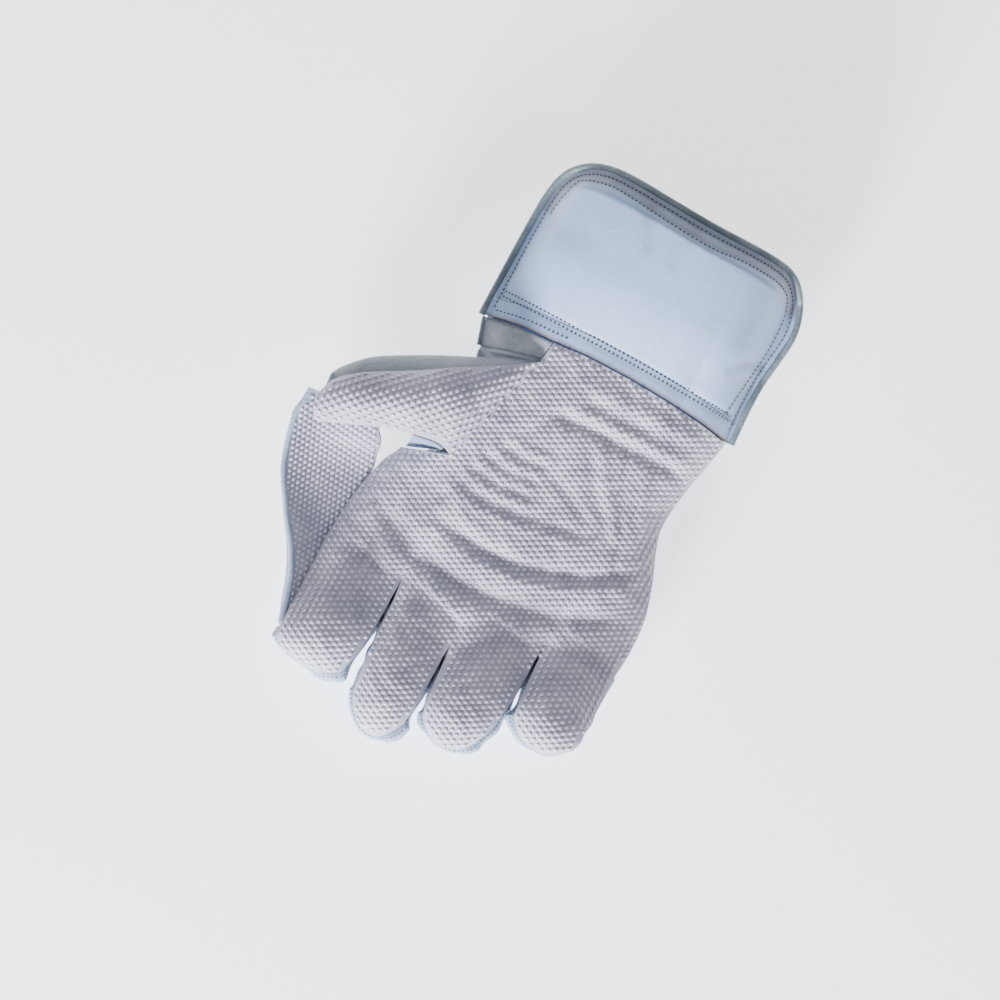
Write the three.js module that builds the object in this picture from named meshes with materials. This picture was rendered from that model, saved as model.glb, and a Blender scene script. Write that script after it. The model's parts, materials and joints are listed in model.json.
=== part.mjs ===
// Wicketkeeping glove for the right hand, lying on its back with the palm up.
// Millimetres. +Z points up out of the palm, -Y to the fingertips, +Y to the cuff
// and +X to the little finger. The shapes are worked out about the middle of the
// wrist seam, and the whole glove is centred on its resting face at the end.
import * as THREE from "three";

// Sizes of the palm
const PALM_WIDTH = 106; // rubber across the wrist seam
const PALM_LENGTH = 140; // wrist seam to the slit beside the ring finger
const PALM_HEIGHT = 52; // floor to the crown of the palm at the wrist
const RELIEF_DEPTH = 3; // deepest fold pressed into the palm rubber
const EDGE_LIFT = 12; // rise of the back leather at its outer edges

// Sizes of the fingers
const FINGER_GAP = 1.5; // open slit between two fingers at their roots
const CURL_HEIGHT = 50; // floor to the seam at the fingertips
const FINGER_DEPTH = 22; // seam to the back of a finger at its tip
const INDEX = { width: 46, length: 66 };
const MIDDLE = { width: 37, length: 83 };
const RING = { width: 43.5, length: 72 };
const LITTLE = { width: 40.5, length: 52 };

// Sizes of the thumb and the web
const THUMB_LENGTH = 96; // root of the thumb to its tip
const THUMB_WIDTH = 38; // between its two seams
const THUMB_HEIGHT = 63; // floor to the seam at its tip
const THUMB_DEPTH = 24; // seam to the back of the thumb
const THUMB_SWELL = 13; // leather standing out beyond the upper seam
const WEB_WIDTH = 47; // widest span of the catching web
const WEB_HEIGHT = 43; // floor to the web's outer edge
const BINDING_DIAMETER = 2.4;

// Sizes of the cuff
const CUFF_WIDTH = 150;
const CUFF_LENGTH = 96; // wrist seam to the mouth
const CUFF_SIDE_HEIGHT = 31; // floor to the side seams
const CUFF_MOUTH_RISE = 35; // side seam to the crown of the mouth
const CUFF_PAD = 6; // padding above the flat border
const BAND_HEIGHT = 11; // plain band between the wrist and the double stitching
const PIPING_DIAMETER = 4.8;

// Thicknesses and clearance
const RUBBER = 2.4;
const LEATHER = 1.8;
const CUFF_WALL = 3;
const SIDE_SWELL = 1.2; // bulge of the leather between the seams
const GUSSET_RISE = 4; // rise of the wrist gusset between its corners
const CROTCH_SAG = 3; // dip of the leather between thumb and index finger
const SEAM_GAP = 0.3;
const WRIST_GAP = 0.9; // clearance round the wrist seam, where curved edges meet

// Where the six lines of the palm cross the wrist, as shares of the palm's size
const WRIST_LINES = {
  radial: { across: -0.85, along: 0.004 },
  thumb: { across: -0.481, along: 0.029 },
  middle: { across: -0.31, along: 0.036 },
  ring: { across: -0.057, along: 0.032 },
  little: { across: 0.226, along: 0.016 },
  ulnar: { across: 0.519, along: -0.014 },
};

// Sideways bows of those lines from wrist (0) to finger root (1), as shares of the palm width
const LINE_BOWS = table("u radial backRadial thumb ring little ulnar", [
  [0.0, 0.0, 0.0, 0.0, 0.0, 0.0, 0.0],
  [0.1, 0.0, 0.075, 0.011, 0.005, -0.008, -0.03],
  [0.25, 0.0, 0.15, -0.004, 0.012, -0.02, -0.078],
  [0.4, 0.0, 0.17, -0.018, 0.016, -0.027, -0.104],
  [0.5, 0.024, 0.11, -0.028, 0.016, -0.028, -0.075],
  [0.6, -0.002, 0.02, -0.055, 0.016, -0.027, -0.029],
  [0.75, -0.019, -0.019, -0.054, 0.012, -0.02, 0.017],
  [0.9, -0.012, -0.012, -0.03, 0.005, -0.008, 0.018],
  [1.0, 0.0, 0.0, 0.0, 0.0, 0.0, 0.0],
]);

// Drops of the same lines towards the fingers, as shares of the palm length
const LINE_DROPS = table("u radial thumb", [
  [0.0, 0.0, 0.0],
  [0.1, -0.03, 0.0],
  [0.25, -0.045, -0.01],
  [0.4, -0.06, -0.022],
  [0.5, -0.068, -0.027],
  [0.6, -0.036, -0.018],
  [0.75, -0.02, -0.008],
  [1.0, 0.0, 0.0],
]);

// Heights of the lines, as shares of the palm height
const LINE_HEIGHTS = table("u radial thumb middle ring little ulnar", [
  [0.0, 0.62, 0.96, 1.0, 0.98, 0.86, 0.56],
  [0.1, 0.62, 0.97, 1.0, 0.97, 0.85, 0.53],
  [0.25, 0.62, 0.97, 0.97, 0.93, 0.82, 0.5],
  [0.4, 0.63, 0.96, 0.93, 0.88, 0.79, 0.48],
  [0.5, 0.64, 0.9, 0.9, 0.86, 0.78, 0.48],
  [0.6, 0.58, 0.85, 0.88, 0.85, 0.78, 0.49],
  [0.75, 0.54, 0.81, 0.85, 0.84, 0.79, 0.52],
  [0.9, 0.55, 0.79, 0.78, 0.82, 0.75, 0.56],
  [1.0, 0.59, 0.79, 0.71, 0.8, 0.68, 0.6],
]);

// Crowns of the columns between the lines, as shares of the palm height
const COLUMN_CROWNS = table("u outer inner middle ring little", [
  [0.0, 0.0, 0.0, 0.02, 0.04, 0.06],
  [0.5, 0.04, 0.0, 0.0, 0.01, 0.07],
  [0.75, 0.06, 0.02, 0.02, 0.02, 0.08],
  [0.9, 0.09, 0.06, 0.08, 0.06, 0.1],
  [1.0, 0.11, 0.09, 0.15, 0.13, 0.14],
]);

// Course of a finger from root (0) to tip (1): how far its sides have drawn in and its end has
// rounded, how far the seam and the back have risen, and the crown as a share of its width
const FINGER_COURSE = table("u inset round rise crown back", [
  [0.0, 0.0, 0.0, 0.0, 0.2, 0.0],
  [0.25, 0.04, 0.02, 0.2, 0.27, 0.04],
  [0.5, 0.15, 0.08, 0.52, 0.3, 0.22],
  [0.7, 0.32, 0.22, 0.8, 0.29, 0.5],
  [0.85, 0.58, 0.48, 0.97, 0.24, 0.76],
  [0.95, 0.85, 0.82, 1.02, 0.13, 0.93],
  [1.0, 1.0, 1.0, 1.0, 0.02, 1.0],
]);

// Tips of the fingers: how far each side draws in as a share of the width, where the round end
// starts on each side as a share of the length, and how far the leather stands out there
const FINGERS = [
  { name: "index", size: INDEX, from: "radial", to: "middle",
    insetLeft: 0.01, insetRight: 0.14, cornerLeft: 0.89, cornerRight: 0.92, swell: 0.09 },
  { name: "middle", size: MIDDLE, from: "middle", to: "ring",
    insetLeft: 0.08, insetRight: 0.08, cornerLeft: 0.8, cornerRight: 0.85, swell: 0.13 },
  { name: "ring", size: RING, from: "ring", to: "little",
    insetLeft: 0.06, insetRight: 0.22, cornerLeft: 0.85, cornerRight: 0.87, swell: 0.12 },
  { name: "little", size: LITTLE, from: "little", to: "ulnar",
    insetLeft: 0.03, insetRight: 0.09, cornerLeft: 0.79, cornerRight: 0.83, swell: 0.08 },
];

// Folds pressed across the rubber: ends as shares of the palm width and length, the sag of the
// line between them, its half width as a share of the palm length, and its depth (minus: a rib)
const FOLDS = table("x0 y0 x1 y1 sag width depth", [
  [-0.24, 0.115, 0.21, 0.115, 0.0, 0.03, 0.5],
  [-0.33, 0.06, 0.45, 0.06, 0.0, 0.03, -0.4],
  [-0.33, 0.205, 0.4, 0.205, 0.0, 0.035, 0.6],
  [-0.68, 0.74, 0.4, 0.62, 0.11, 0.04, 0.8],
  [-0.6, 0.66, 0.2, 0.58, 0.09, 0.05, -0.4],
  [-0.92, 0.8, 0.47, 0.785, 0.15, 0.05, 1.0],
  [-0.93, 1.025, -0.75, 1.025, 0.0, 0.035, 0.9],
  [-0.51, 1.06, -0.33, 1.06, 0.0, 0.035, 0.9],
  [-0.13, 1.04, 0.05, 1.04, 0.0, 0.035, 0.9],
  [0.28, 0.97, 0.4, 0.97, 0.0, 0.035, 0.8],
]);

// The thumb's two seams along its axis, as shares of its length and width; their heights and
// the crown between them; and the depth and swell of the leather behind
const THUMB_AXIS = new THREE.Vector2(-0.905, -0.426);
const THUMB_ROOT = { across: -0.585, along: -0.286 };
const THUMB_COURSE = table("u topAlong topSide topRise lowAlong lowSide lowRise crown depth swell", [
  [0.0, -0.218, 0.642, 0.8, 0.245, -0.668, 0.74, 0.0, 1.3, 0.3],
  [0.2, -0.018, 0.589, 0.84, 0.303, -0.513, 0.86, 0.24, 1.3, 0.6],
  [0.4, 0.22, 0.553, 0.89, 0.4, -0.42, 0.91, 0.33, 1.15, 0.85],
  [0.6, 0.461, 0.489, 0.94, 0.56, -0.325, 0.95, 0.34, 1.0, 1.0],
  [0.8, 0.698, 0.453, 0.99, 0.79, -0.27, 0.99, 0.3, 0.9, 0.95],
  [0.93, 0.84, 0.39, 1.01, 0.925, -0.245, 1.01, 0.17, 0.7, 0.7],
  [1.0, 0.895, 0.337, 1.0, 0.98, -0.235, 1.0, 0.04, 0.25, 0.5],
]);
const THUMB_TIP_ROUND = 0.052; // round end beyond its corners, as a share of its length

// The web from its top (0) to the index fingertip (1). The outer edge stands off the index seam
// by its reach. The inner edge follows that seam, and where it has a foot it has left the seam
// and bounds the open gap below the thumb. Shares of the web's width and height, and of the
// palm's length along the hand.
const WEB_COURSE = table("u reach outerAlong outerRise foot innerAlong innerRise", [
  [0.0, 1.2, 0.53, 1.0, 0.38, 0.515, 0.22],
  [0.08, 1.205, 0.6, 0.98, 0.31, 0.565, 0.15],
  [0.18, 1.095, 0.67, 0.95, 0.17, 0.62, 0.07],
  [0.3, 0.965, 0.76, 0.92, 0.05, 0.69, 0.0],
  [0.45, 0.81, 0.86, 0.92, 0.0, 0.79, 0.0],
  [0.6, 0.58, 0.97, 0.93, 0.0, 0.92, 0.0],
  [0.75, 0.345, 1.08, 0.96, 0.0, 1.05, 0.0],
  [0.88, 0.16, 1.2, 1.0, 0.0, 1.19, 0.0],
  [1.0, 0.05, 1.31, 1.06, 0.0, 1.31, 0.0],
]);

// Where the leather in the crotch of the thumb begins, as a share of the crotch's edges
const CROTCH_START = 0.3;

// The cuff: where its middle lies, as a share of the palm width, and its outline inside the
// piping, as shares of its own width and length
const CUFF_MIDDLE = -0.163;
const CUFF_LEFT = table("across along", [
  [-0.481, 0.02], [-0.476, 0.26], [-0.47, 0.52], [-0.458, 0.78], [-0.432, 0.905],
]);
const CUFF_TOP = table("across along", [
  [-0.432, 0.905], [-0.378, 0.973], [-0.305, 0.997], [-0.205, 0.988], [-0.07, 0.966],
  [0.115, 0.948], [0.35, 0.955], [0.415, 0.94], [0.458, 0.89],
]);
const CUFF_RIGHT = table("across along", [
  [0.48, -0.01], [0.476, 0.2], [0.48, 0.36], [0.495, 0.52], [0.506, 0.68], [0.489, 0.81],
  [0.458, 0.89],
]);

// How the sheets are eased
const SIDE_ROLL = 2.2; // power by which the palm rolls down to the seam below the little finger
const CROWN_POWER = 2.2; // roundness of fingers and thumb across their width
const END_POWER = 2.4; // roundness of the fingers' ends and of the cuff's mouth
const FINGER_SPACING = 1.35; // above 1 the rows of a finger crowd towards its tip
const THUMB_SPACING = 1.25;
const BACK_LIFT = { start: 0.085, span: 0.18 }; // where the back falls from the wrist to the palm
const BACK_CURL = 0.55; // edge lift along the fingers, as a share of the palm's
const HORN_PEAK = 4.13; // brings the curve of the thumb's swell up to 1
const PAD_EASE = { sides: 7, ends: 6 }; // how steeply the cuff's padding rises from its border
const PAD_FILL = 0.7; // share of the padding's rise that the wall fills
const CORNER_RISE = 0.66; // from the cuff's side up to the palm, where its corner is crossed

// Facets along and across the sheets
const PALM_ROWS = 24;
const THUMB_FIRST_ROW = 2;
const CROTCH_ROW = 12;
const FINGER_ROWS = 9;
const THUMB_ROWS = 10;
const COLUMNS = { outer: 4, inner: 3, middle: 5, ring: 5, little: 5 };
const BACK_COLUMNS = { outer: 2, inner: 1, middle: 3, ring: 3, little: 3 };
const WALL_ROWS = 3;
const WALL_TIP_STEPS = 6;
const GUSSET_STEPS = 6;
const WEB_ROWS = 12;
const WEB_STEPS = 3;
const CROTCH_THUMB_ROWS = 5;
const CUFF_COLUMNS = 14;
const PAD_ROWS = 12;
const TRAY_ROWS = 10;
const TRIM_STEPS = { web: 24, front: 44, back: 24 };

// Colours
const RUBBER_LOOK = { color: 0xd9d5e0, roughness: 0.62 };
const PALE_LOOK = { color: 0xcdd9e6, roughness: 0.45 };
const GREY_LOOK = { color: 0x8b9aa0, roughness: 0.6 };
const TRIM_LOOK = { color: 0x93a6ad, roughness: 0.5 };

const glove = new THREE.Group();

// Small helpers

function table(columns, rows) {
  const names = columns.split(" ");
  return rows.map((row) => Object.fromEntries(row.map((value, k) => [names[k], value])));
}

function mix(a, b, t) {
  return a + (b - a) * t;
}

function smooth(t) {
  const c = THREE.MathUtils.clamp(t, 0, 1);
  return c * c * (3 - 2 * c);
}

function arch(s, power = 2) {
  return 1 - Math.abs(2 * s - 1) ** power;
}

// A column of a table at station u, on a smooth line through its rows
function at(rows, column, u) {
  const last = rows.length - 1;
  let k = 0;
  while (k < last - 1 && u > rows[k + 1].u) k += 1;
  const slope = (i) => {
    const before = rows[Math.max(i - 1, 0)];
    const after = rows[Math.min(i + 1, last)];
    return (after[column] - before[column]) / (after.u - before.u);
  };
  const span = rows[k + 1].u - rows[k].u;
  const t = THREE.MathUtils.clamp((u - rows[k].u) / span, 0, 1);
  const bend = t * (1 - t) * span * (slope(k) * (1 - t) - slope(k + 1) * t);
  return mix(rows[k][column], rows[k + 1][column], t * t * (3 - 2 * t)) + bend;
}

function curve(points) {
  return new THREE.CatmullRomCurve3(points, false, "centripetal");
}

function resample(points, count) {
  return curve(points).getSpacedPoints(count);
}

// A sheet collects grids of points, joined where they share a point
class Sheet {
  constructor() {
    this.points = [];
    this.faces = [];
    this.known = new Map();
  }

  point(p) {
    const key = [p.x, p.y, p.z].map((value) => value.toFixed(3)).join(" ");
    if (!this.known.has(key)) {
      this.known.set(key, this.points.length);
      this.points.push(p.clone());
    }
    return this.known.get(key);
  }

  // Rows of points whose front shows when rows run down and columns run right
  grid(rows, flip = false) {
    const ids = rows.map((row) => row.map((p) => this.point(p)));
    for (let i = 0; i + 1 < ids.length; i += 1) {
      for (let j = 0; j + 1 < ids[i].length; j += 1) {
        const corners = [ids[i][j], ids[i + 1][j], ids[i + 1][j + 1], ids[i][j + 1]];
        if (flip) corners.reverse();
        this.face(corners[0], corners[1], corners[2]);
        this.face(corners[0], corners[2], corners[3]);
      }
    }
    return ids;
  }

  face(a, b, c) {
    if (a !== b && b !== c && a !== c) this.faces.push([a, b, c]);
  }

  normals() {
    const sums = this.points.map(() => new THREE.Vector3());
    for (const [a, b, c] of this.faces) {
      const side = this.points[b].clone().sub(this.points[a]);
      side.cross(this.points[c].clone().sub(this.points[a]));
      for (const k of [a, b, c]) sums[k].add(side);
    }
    return sums.map((sum) => sum.normalize());
  }

  // A copy of the sheet, set back along its normals
  setBack(distance) {
    const normals = this.normals();
    const copy = new Sheet();
    copy.points = this.points.map((p, k) => p.clone().addScaledVector(normals[k], -distance));
    copy.faces = this.faces;
    return copy;
  }

  // One closed body: the sheet, its copy set back by the wall (or by a wall for each point),
  // and its edges
  solid(wall) {
    const normals = this.normals();
    const count = this.points.length;
    const depth = (k) => (Array.isArray(wall) ? wall[k] : wall);
    const back = this.points.map((p, k) => p.clone().addScaledVector(normals[k], -depth(k)));
    const faces = this.faces.flatMap(([a, b, c]) => [[a, b, c], [c + count, b + count, a + count]]);
    const edges = new Set(this.faces.flatMap(([a, b, c]) => [`${a} ${b}`, `${b} ${c}`, `${c} ${a}`]));
    for (const edge of edges) {
      const [a, b] = edge.split(" ").map(Number);
      if (!edges.has(`${b} ${a}`)) faces.push([b, a, a + count], [b, a + count, b + count]);
    }
    const geometry = new THREE.BufferGeometry();
    const all = [...this.points, ...back].flatMap((p) => p.toArray());
    geometry.setAttribute("position", new THREE.Float32BufferAttribute(all, 3));
    geometry.setIndex(faces.flat());
    return geometry;
  }
}

function add(name, geometry, look) {
  geometry.computeVertexNormals();
  const mesh = new THREE.Mesh(geometry, new THREE.MeshStandardMaterial({ metalness: 0, ...look }));
  mesh.name = name;
  glove.add(mesh);
}

// The palm

const knuckleWidth = FINGERS.reduce((sum, finger) => sum + finger.size.width, 0) + 3 * FINGER_GAP;
const rootRadial = -0.665 * knuckleWidth;
const rootMiddle = rootRadial + INDEX.width + FINGER_GAP / 2;
const rootRing = rootMiddle + MIDDLE.width + FINGER_GAP;
const rootLittle = rootRing + RING.width + FINGER_GAP;
const ROOT_LINES = {
  radial: { x: rootRadial, along: 1.02 },
  thumb: { x: rootRadial + 0.54 * INDEX.width, along: 1.02 },
  middle: { x: rootMiddle, along: 1.02 },
  ring: { x: rootRing, along: 1.16 },
  little: { x: rootLittle, along: 1.0 },
  ulnar: { x: rootLittle + LITTLE.width + FINGER_GAP / 2, along: 1.0 },
};

// Depth of the folds at a place on the rubber, taken off its height
function fold(x, y) {
  let depth = 0;
  for (const row of FOLDS) {
    const t = (x / PALM_WIDTH - row.x0) / (row.x1 - row.x0);
    if (t > 0 && t < 1) {
      const line = mix(row.y0, row.y1, t) + row.sag * 4 * t * (1 - t);
      const off = (-y / PALM_LENGTH - line) / row.width;
      depth += row.depth * Math.exp(-off * off) * Math.min(1, 8 * t * (1 - t));
    }
  }
  return RELIEF_DEPTH * depth;
}

function linePoint(name, u, back = false) {
  const wrist = WRIST_LINES[name];
  const root = ROOT_LINES[name];
  const bowName = back && name === "radial" ? "backRadial" : name;
  const bow = bowName in LINE_BOWS[0] ? at(LINE_BOWS, bowName, u) : 0;
  const drop = name in LINE_DROPS[0] ? at(LINE_DROPS, name, u) : 0;
  const x = mix(wrist.across * PALM_WIDTH, root.x, u) + bow * PALM_WIDTH;
  const y = (mix(wrist.along, -root.along, u) + drop) * PALM_LENGTH;
  return new THREE.Vector3(x, y, at(LINE_HEIGHTS, name, u) * PALM_HEIGHT);
}

// Points across one column at row u. The outer columns roll down to their seams.
function columnRow(column, from, to, u, count, back = false) {
  const a = linePoint(from, u, back);
  const b = linePoint(to, u, back);
  const crown = at(COLUMN_CROWNS, column, u) * PALM_HEIGHT;
  const row = [];
  for (let j = 0; j <= count; j += 1) {
    const s = j / count;
    let ease = s;
    if (to === "ulnar") ease = s ** SIDE_ROLL;
    if (from === "radial") ease = 1 - (1 - s) ** 2;
    const p = a.clone().lerp(b, s);
    p.z = mix(a.z, b.z, ease) + crown * arch(s);
    if (s > 0 || from !== "radial") p.z -= to === "ulnar" && s === 1 ? 0 : fold(p.x, p.y);
    row.push(p);
  }
  return row;
}

const PALM_COLUMNS = [
  ["inner", "thumb", "middle"], ["middle", "middle", "ring"],
  ["ring", "ring", "little"], ["little", "little", "ulnar"],
];

// One finger beyond its root row, as rows of points. The root row keeps its own shape and
// gives way to the finger's.
function fingerRows(root, finger, height, relief) {
  const { size } = finger;
  const count = root.length - 1;
  const left = root[0];
  const right = root[count];
  const centre = (left.x + right.x) / 2;
  const halfRoot = (right.x - left.x) / 2;
  const half = size.width / 2;
  const tip = -PALM_LENGTH - size.length;
  const endLeft = -PALM_LENGTH - size.length * finger.cornerLeft;
  const endRight = -PALM_LENGTH - size.length * finger.cornerRight;
  const endRise = tip - (endLeft + endRight) / 2;
  const rows = [root];
  const place = (t, s) => {
    const inset = at(FINGER_COURSE, "inset", t) * size.width;
    const halfHere = mix(halfRoot, half, Math.min(1, 6 * t));
    const xLeft = centre - halfHere + inset * finger.insetLeft;
    const xRight = centre + halfHere - inset * finger.insetRight;
    const y = mix(mix(left.y, endLeft, t), mix(right.y, endRight, t), s);
    const end = at(FINGER_COURSE, "round", t) * endRise * arch(s, END_POWER);
    return new THREE.Vector3(mix(xLeft, xRight, s), y + end, height(t, s, left.z, right.z));
  };
  const shares = root.map((p) => (p.x - left.x) / (right.x - left.x));
  for (let k = 1; k <= FINGER_ROWS; k += 1) {
    const t = 1 - (1 - k / FINGER_ROWS) ** FINGER_SPACING;
    const keep = 1 - smooth(t / 0.4);
    rows.push(shares.map((s, j) => {
      const inside = relief && s > 0 && s < 1;
      const slip = root[j].clone().sub(place(0, s));
      if (inside) slip.z += fold(root[j].x, root[j].y);
      const p = place(t, s).addScaledVector(slip, keep);
      if (inside) p.z -= fold(p.x, p.y);
      return p;
    }));
  }
  return rows;
}

function frontHeight(finger) {
  return (t, s, zLeft, zRight) => {
    const rise = at(FINGER_COURSE, "rise", t);
    const seam = mix(mix(zLeft, zRight, s), CURL_HEIGHT, rise);
    return seam + at(FINGER_COURSE, "crown", t) * finger.size.width * arch(s, CROWN_POWER);
  };
}

const rubber = new Sheet();

const rubberRows = Array.from({ length: PALM_ROWS + 1 }, (_, i) => {
  const u = i / PALM_ROWS;
  const row = [];
  PALM_COLUMNS.forEach(([column, from, to], k) => {
    const points = columnRow(column, from, to, u, COLUMNS[column]);
    row.push(...(k ? points.slice(1) : points));
  });
  return row;
});
const outerRows = [];
for (let i = CROTCH_ROW; i <= PALM_ROWS; i += 1) {
  outerRows.push(columnRow("outer", "radial", "thumb", i / PALM_ROWS, COLUMNS.outer));
}

const palmIds = rubber.grid(rubberRows);
const outerIds = rubber.grid(outerRows);
let column = 0;
const fingerIds = {};
FINGERS.forEach((finger, k) => {
  const count = k ? COLUMNS[finger.name] : COLUMNS.inner;
  let root = rubberRows[PALM_ROWS].slice(column, column + count + 1);
  if (!k) root = [...outerRows[outerRows.length - 1].slice(0, -1), ...root];
  column += count;
  fingerIds[finger.name] = rubber.grid(fingerRows(root, finger, frontHeight(finger), true));
});

// The thumb springs from the palm's left line and narrows to its round tip
const thumbSide = new THREE.Vector2(THUMB_AXIS.y, -THUMB_AXIS.x);
const thumbRoot = new THREE.Vector2(THUMB_ROOT.across * PALM_WIDTH, THUMB_ROOT.along * PALM_LENGTH);
const thumbLine = rubberRows.slice(THUMB_FIRST_ROW, CROTCH_ROW + 1).map((row) => row[0]);

function thumbPlace(along, side, z) {
  const p = thumbRoot.clone().addScaledVector(THUMB_AXIS, along * THUMB_LENGTH);
  p.addScaledVector(thumbSide, side * THUMB_WIDTH);
  return new THREE.Vector3(p.x, p.y, z * THUMB_HEIGHT);
}

function thumbPoint(u, s) {
  const course = (name) => at(THUMB_COURSE, name, u);
  const top = thumbPlace(course("topAlong"), course("topSide"), course("topRise"));
  const low = thumbPlace(course("lowAlong"), course("lowSide"), course("lowRise"));
  const p = top.lerp(low, s);
  const round = THUMB_TIP_ROUND * THUMB_LENGTH * smooth((u - 0.6) / 0.4) * arch(s);
  p.x += THUMB_AXIS.x * round;
  p.y += THUMB_AXIS.y * round;
  p.z += course("crown") * THUMB_WIDTH * arch(s, CROWN_POWER);
  return p;
}

const thumbRows = [];
for (let i = 0; i <= THUMB_ROWS; i += 1) {
  const u = 1 - (1 - i / THUMB_ROWS) ** THUMB_SPACING;
  const keep = 1 - smooth(u / 0.35);
  thumbRows.push(thumbLine.map((p, j) => {
    const s = j / (thumbLine.length - 1);
    const slip = p.clone().sub(thumbPoint(0, s));
    return thumbPoint(u, s).addScaledVector(slip, keep);
  }));
}
const thumbIds = rubber.grid(thumbRows);
add("palm_rubber", rubber.solid(RUBBER), RUBBER_LOOK);

// The back: one leather sheet flat on the floor below the palm, rising under the fingers

// Height of a tray across its width: flat in the middle, rising to 1 at both sides
function tray(s, flat = 0.5) {
  return Math.max(0, (Math.abs(2 * s - 1) - flat) / (1 - flat)) ** 3;
}

// The back of wrist and cuff rises to just below the side seams
const trayHeight = CUFF_SIDE_HEIGHT - PIPING_DIAMETER / 2 - CUFF_WALL;

function backHeight(finger) {
  return (t, s) => {
    const centre = at(FINGER_COURSE, "back", t) * (CURL_HEIGHT - FINGER_DEPTH);
    return centre + BACK_CURL * EDGE_LIFT * Math.min(1, 4 * t) * tray(s, 0.2);
  };
}

const backLines = [["outer", "radial", "thumb"], ...PALM_COLUMNS];
const backRows = Array.from({ length: PALM_ROWS + 1 }, (_, i) => {
  const u = i / PALM_ROWS;
  const row = [];
  backLines.forEach(([name, from, to], k) => {
    const points = columnRow(name, from, to, u, BACK_COLUMNS[name], true);
    row.push(...(k ? points.slice(1) : points));
  });
  const left = row[0].x;
  const span = row[row.length - 1].x - left;
  const fall = smooth((u - BACK_LIFT.start) / BACK_LIFT.span);
  const wristLift = (trayHeight - EDGE_LIFT) * (1 - fall);
  row.forEach((p) => {
    const s = (p.x - left) / span;
    p.z = (EDGE_LIFT + (s < 0.5 ? wristLift : 0)) * tray(s);
  });
  return row;
});
const back = new Sheet();
const backIds = back.grid(backRows, true);
column = 0;
const backFingerIds = {};
FINGERS.forEach((finger, k) => {
  const count = k ? BACK_COLUMNS[finger.name] : BACK_COLUMNS.outer + BACK_COLUMNS.inner;
  const root = backRows[PALM_ROWS].slice(column, column + count + 1);
  column += count;
  backFingerIds[finger.name] = back.grid(fingerRows(root, finger, backHeight(finger)), true);
});
add("back_leather", back.solid(LEATHER), PALE_LOOK);

// The leather between them: a strip round each finger, seated inside the edges of both sheets

// Points just inside the wall of a sheet, at the given corners of its edge
function seats(sheet, wall) {
  const normals = sheet.normals();
  return (ids) => ids.map((id) => {
    return sheet.points[id].clone().addScaledVector(normals[id], -(wall + SEAM_GAP));
  });
}

const rubberSeat = seats(rubber, RUBBER);
const backSeat = seats(back, LEATHER);

function strip(name, upper, lower, swells, look) {
  const sheet = new Sheet();
  const last = upper.length - 1;
  const rows = [];
  for (let i = 0; i <= WALL_ROWS; i += 1) {
    const v = i / WALL_ROWS;
    rows.push(upper.map((top, j) => {
      const ahead = upper[Math.min(j + 1, last)];
      const behind = upper[Math.max(j - 1, 0)];
      const out = new THREE.Vector3(ahead.y - behind.y, behind.x - ahead.x, 0).normalize();
      const p = top.clone().lerp(lower[j], v);
      return p.addScaledVector(out, swells[j] * Math.sin(Math.PI * v));
    }));
  }
  sheet.grid(rows);
  add(name, sheet.solid(LEATHER), look);
}

const firstOf = (row) => row[0];
const lastOf = (row) => row[row.length - 1];

// The edge of one finger from its left root to its right one, in three stretches
function fingerEdge(ids, seat) {
  const rows = ids.slice(1);
  const left = seat(rows.map(firstOf));
  const right = seat(rows.map(lastOf)).reverse();
  const tip = resample(seat(lastOf(rows)), WALL_TIP_STEPS).slice(1, -1);
  return [...left, ...tip, ...right];
}

FINGERS.forEach((finger) => {
  let upper = fingerEdge(fingerIds[finger.name], rubberSeat);
  let lower = fingerEdge(backFingerIds[finger.name], backSeat);
  const tipStart = FINGER_ROWS - 3;
  const tipEnd = FINGER_ROWS + WALL_TIP_STEPS + 1;
  let swells = upper.map((_, j) => {
    const near = Math.min(smooth((j - tipStart + 3) / 4), smooth((tipEnd + 3 - j) / 4));
    return finger.swell * finger.size.width * near;
  });
  if (finger.name === "index") {
    const crotch = rubberSeat([...outerIds[0]].reverse()).slice(1, -1);
    crotch.forEach((p) => p.setZ(p.z - SEAM_GAP));
    const side = rubberSeat(outerIds.map(firstOf));
    const under = backSeat(backIds.slice(CROTCH_ROW - 1).map(firstOf));
    upper = [...crotch, ...side, ...upper];
    const corner = resample(under.slice(0, 2), crotch.length + 1).slice(1, -1);
    lower = [...corner, ...under.slice(1), ...lower];
    swells = [...upper.slice(0, upper.length - swells.length).map(() => SIDE_SWELL), ...swells];
  }
  if (finger.name === "little") {
    const side = rubberSeat(rubberRows.map((_, i) => lastOf(palmIds[i]))).reverse();
    const under = backSeat(backRows.map((_, i) => lastOf(backIds[i]))).reverse();
    upper = [...upper, ...side];
    lower = [...lower, ...under];
    swells = [...swells, ...side.map(() => SIDE_SWELL)];
  }
  strip(`${finger.name}_gusset`, upper, lower, swells, PALE_LOOK);
});

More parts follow.
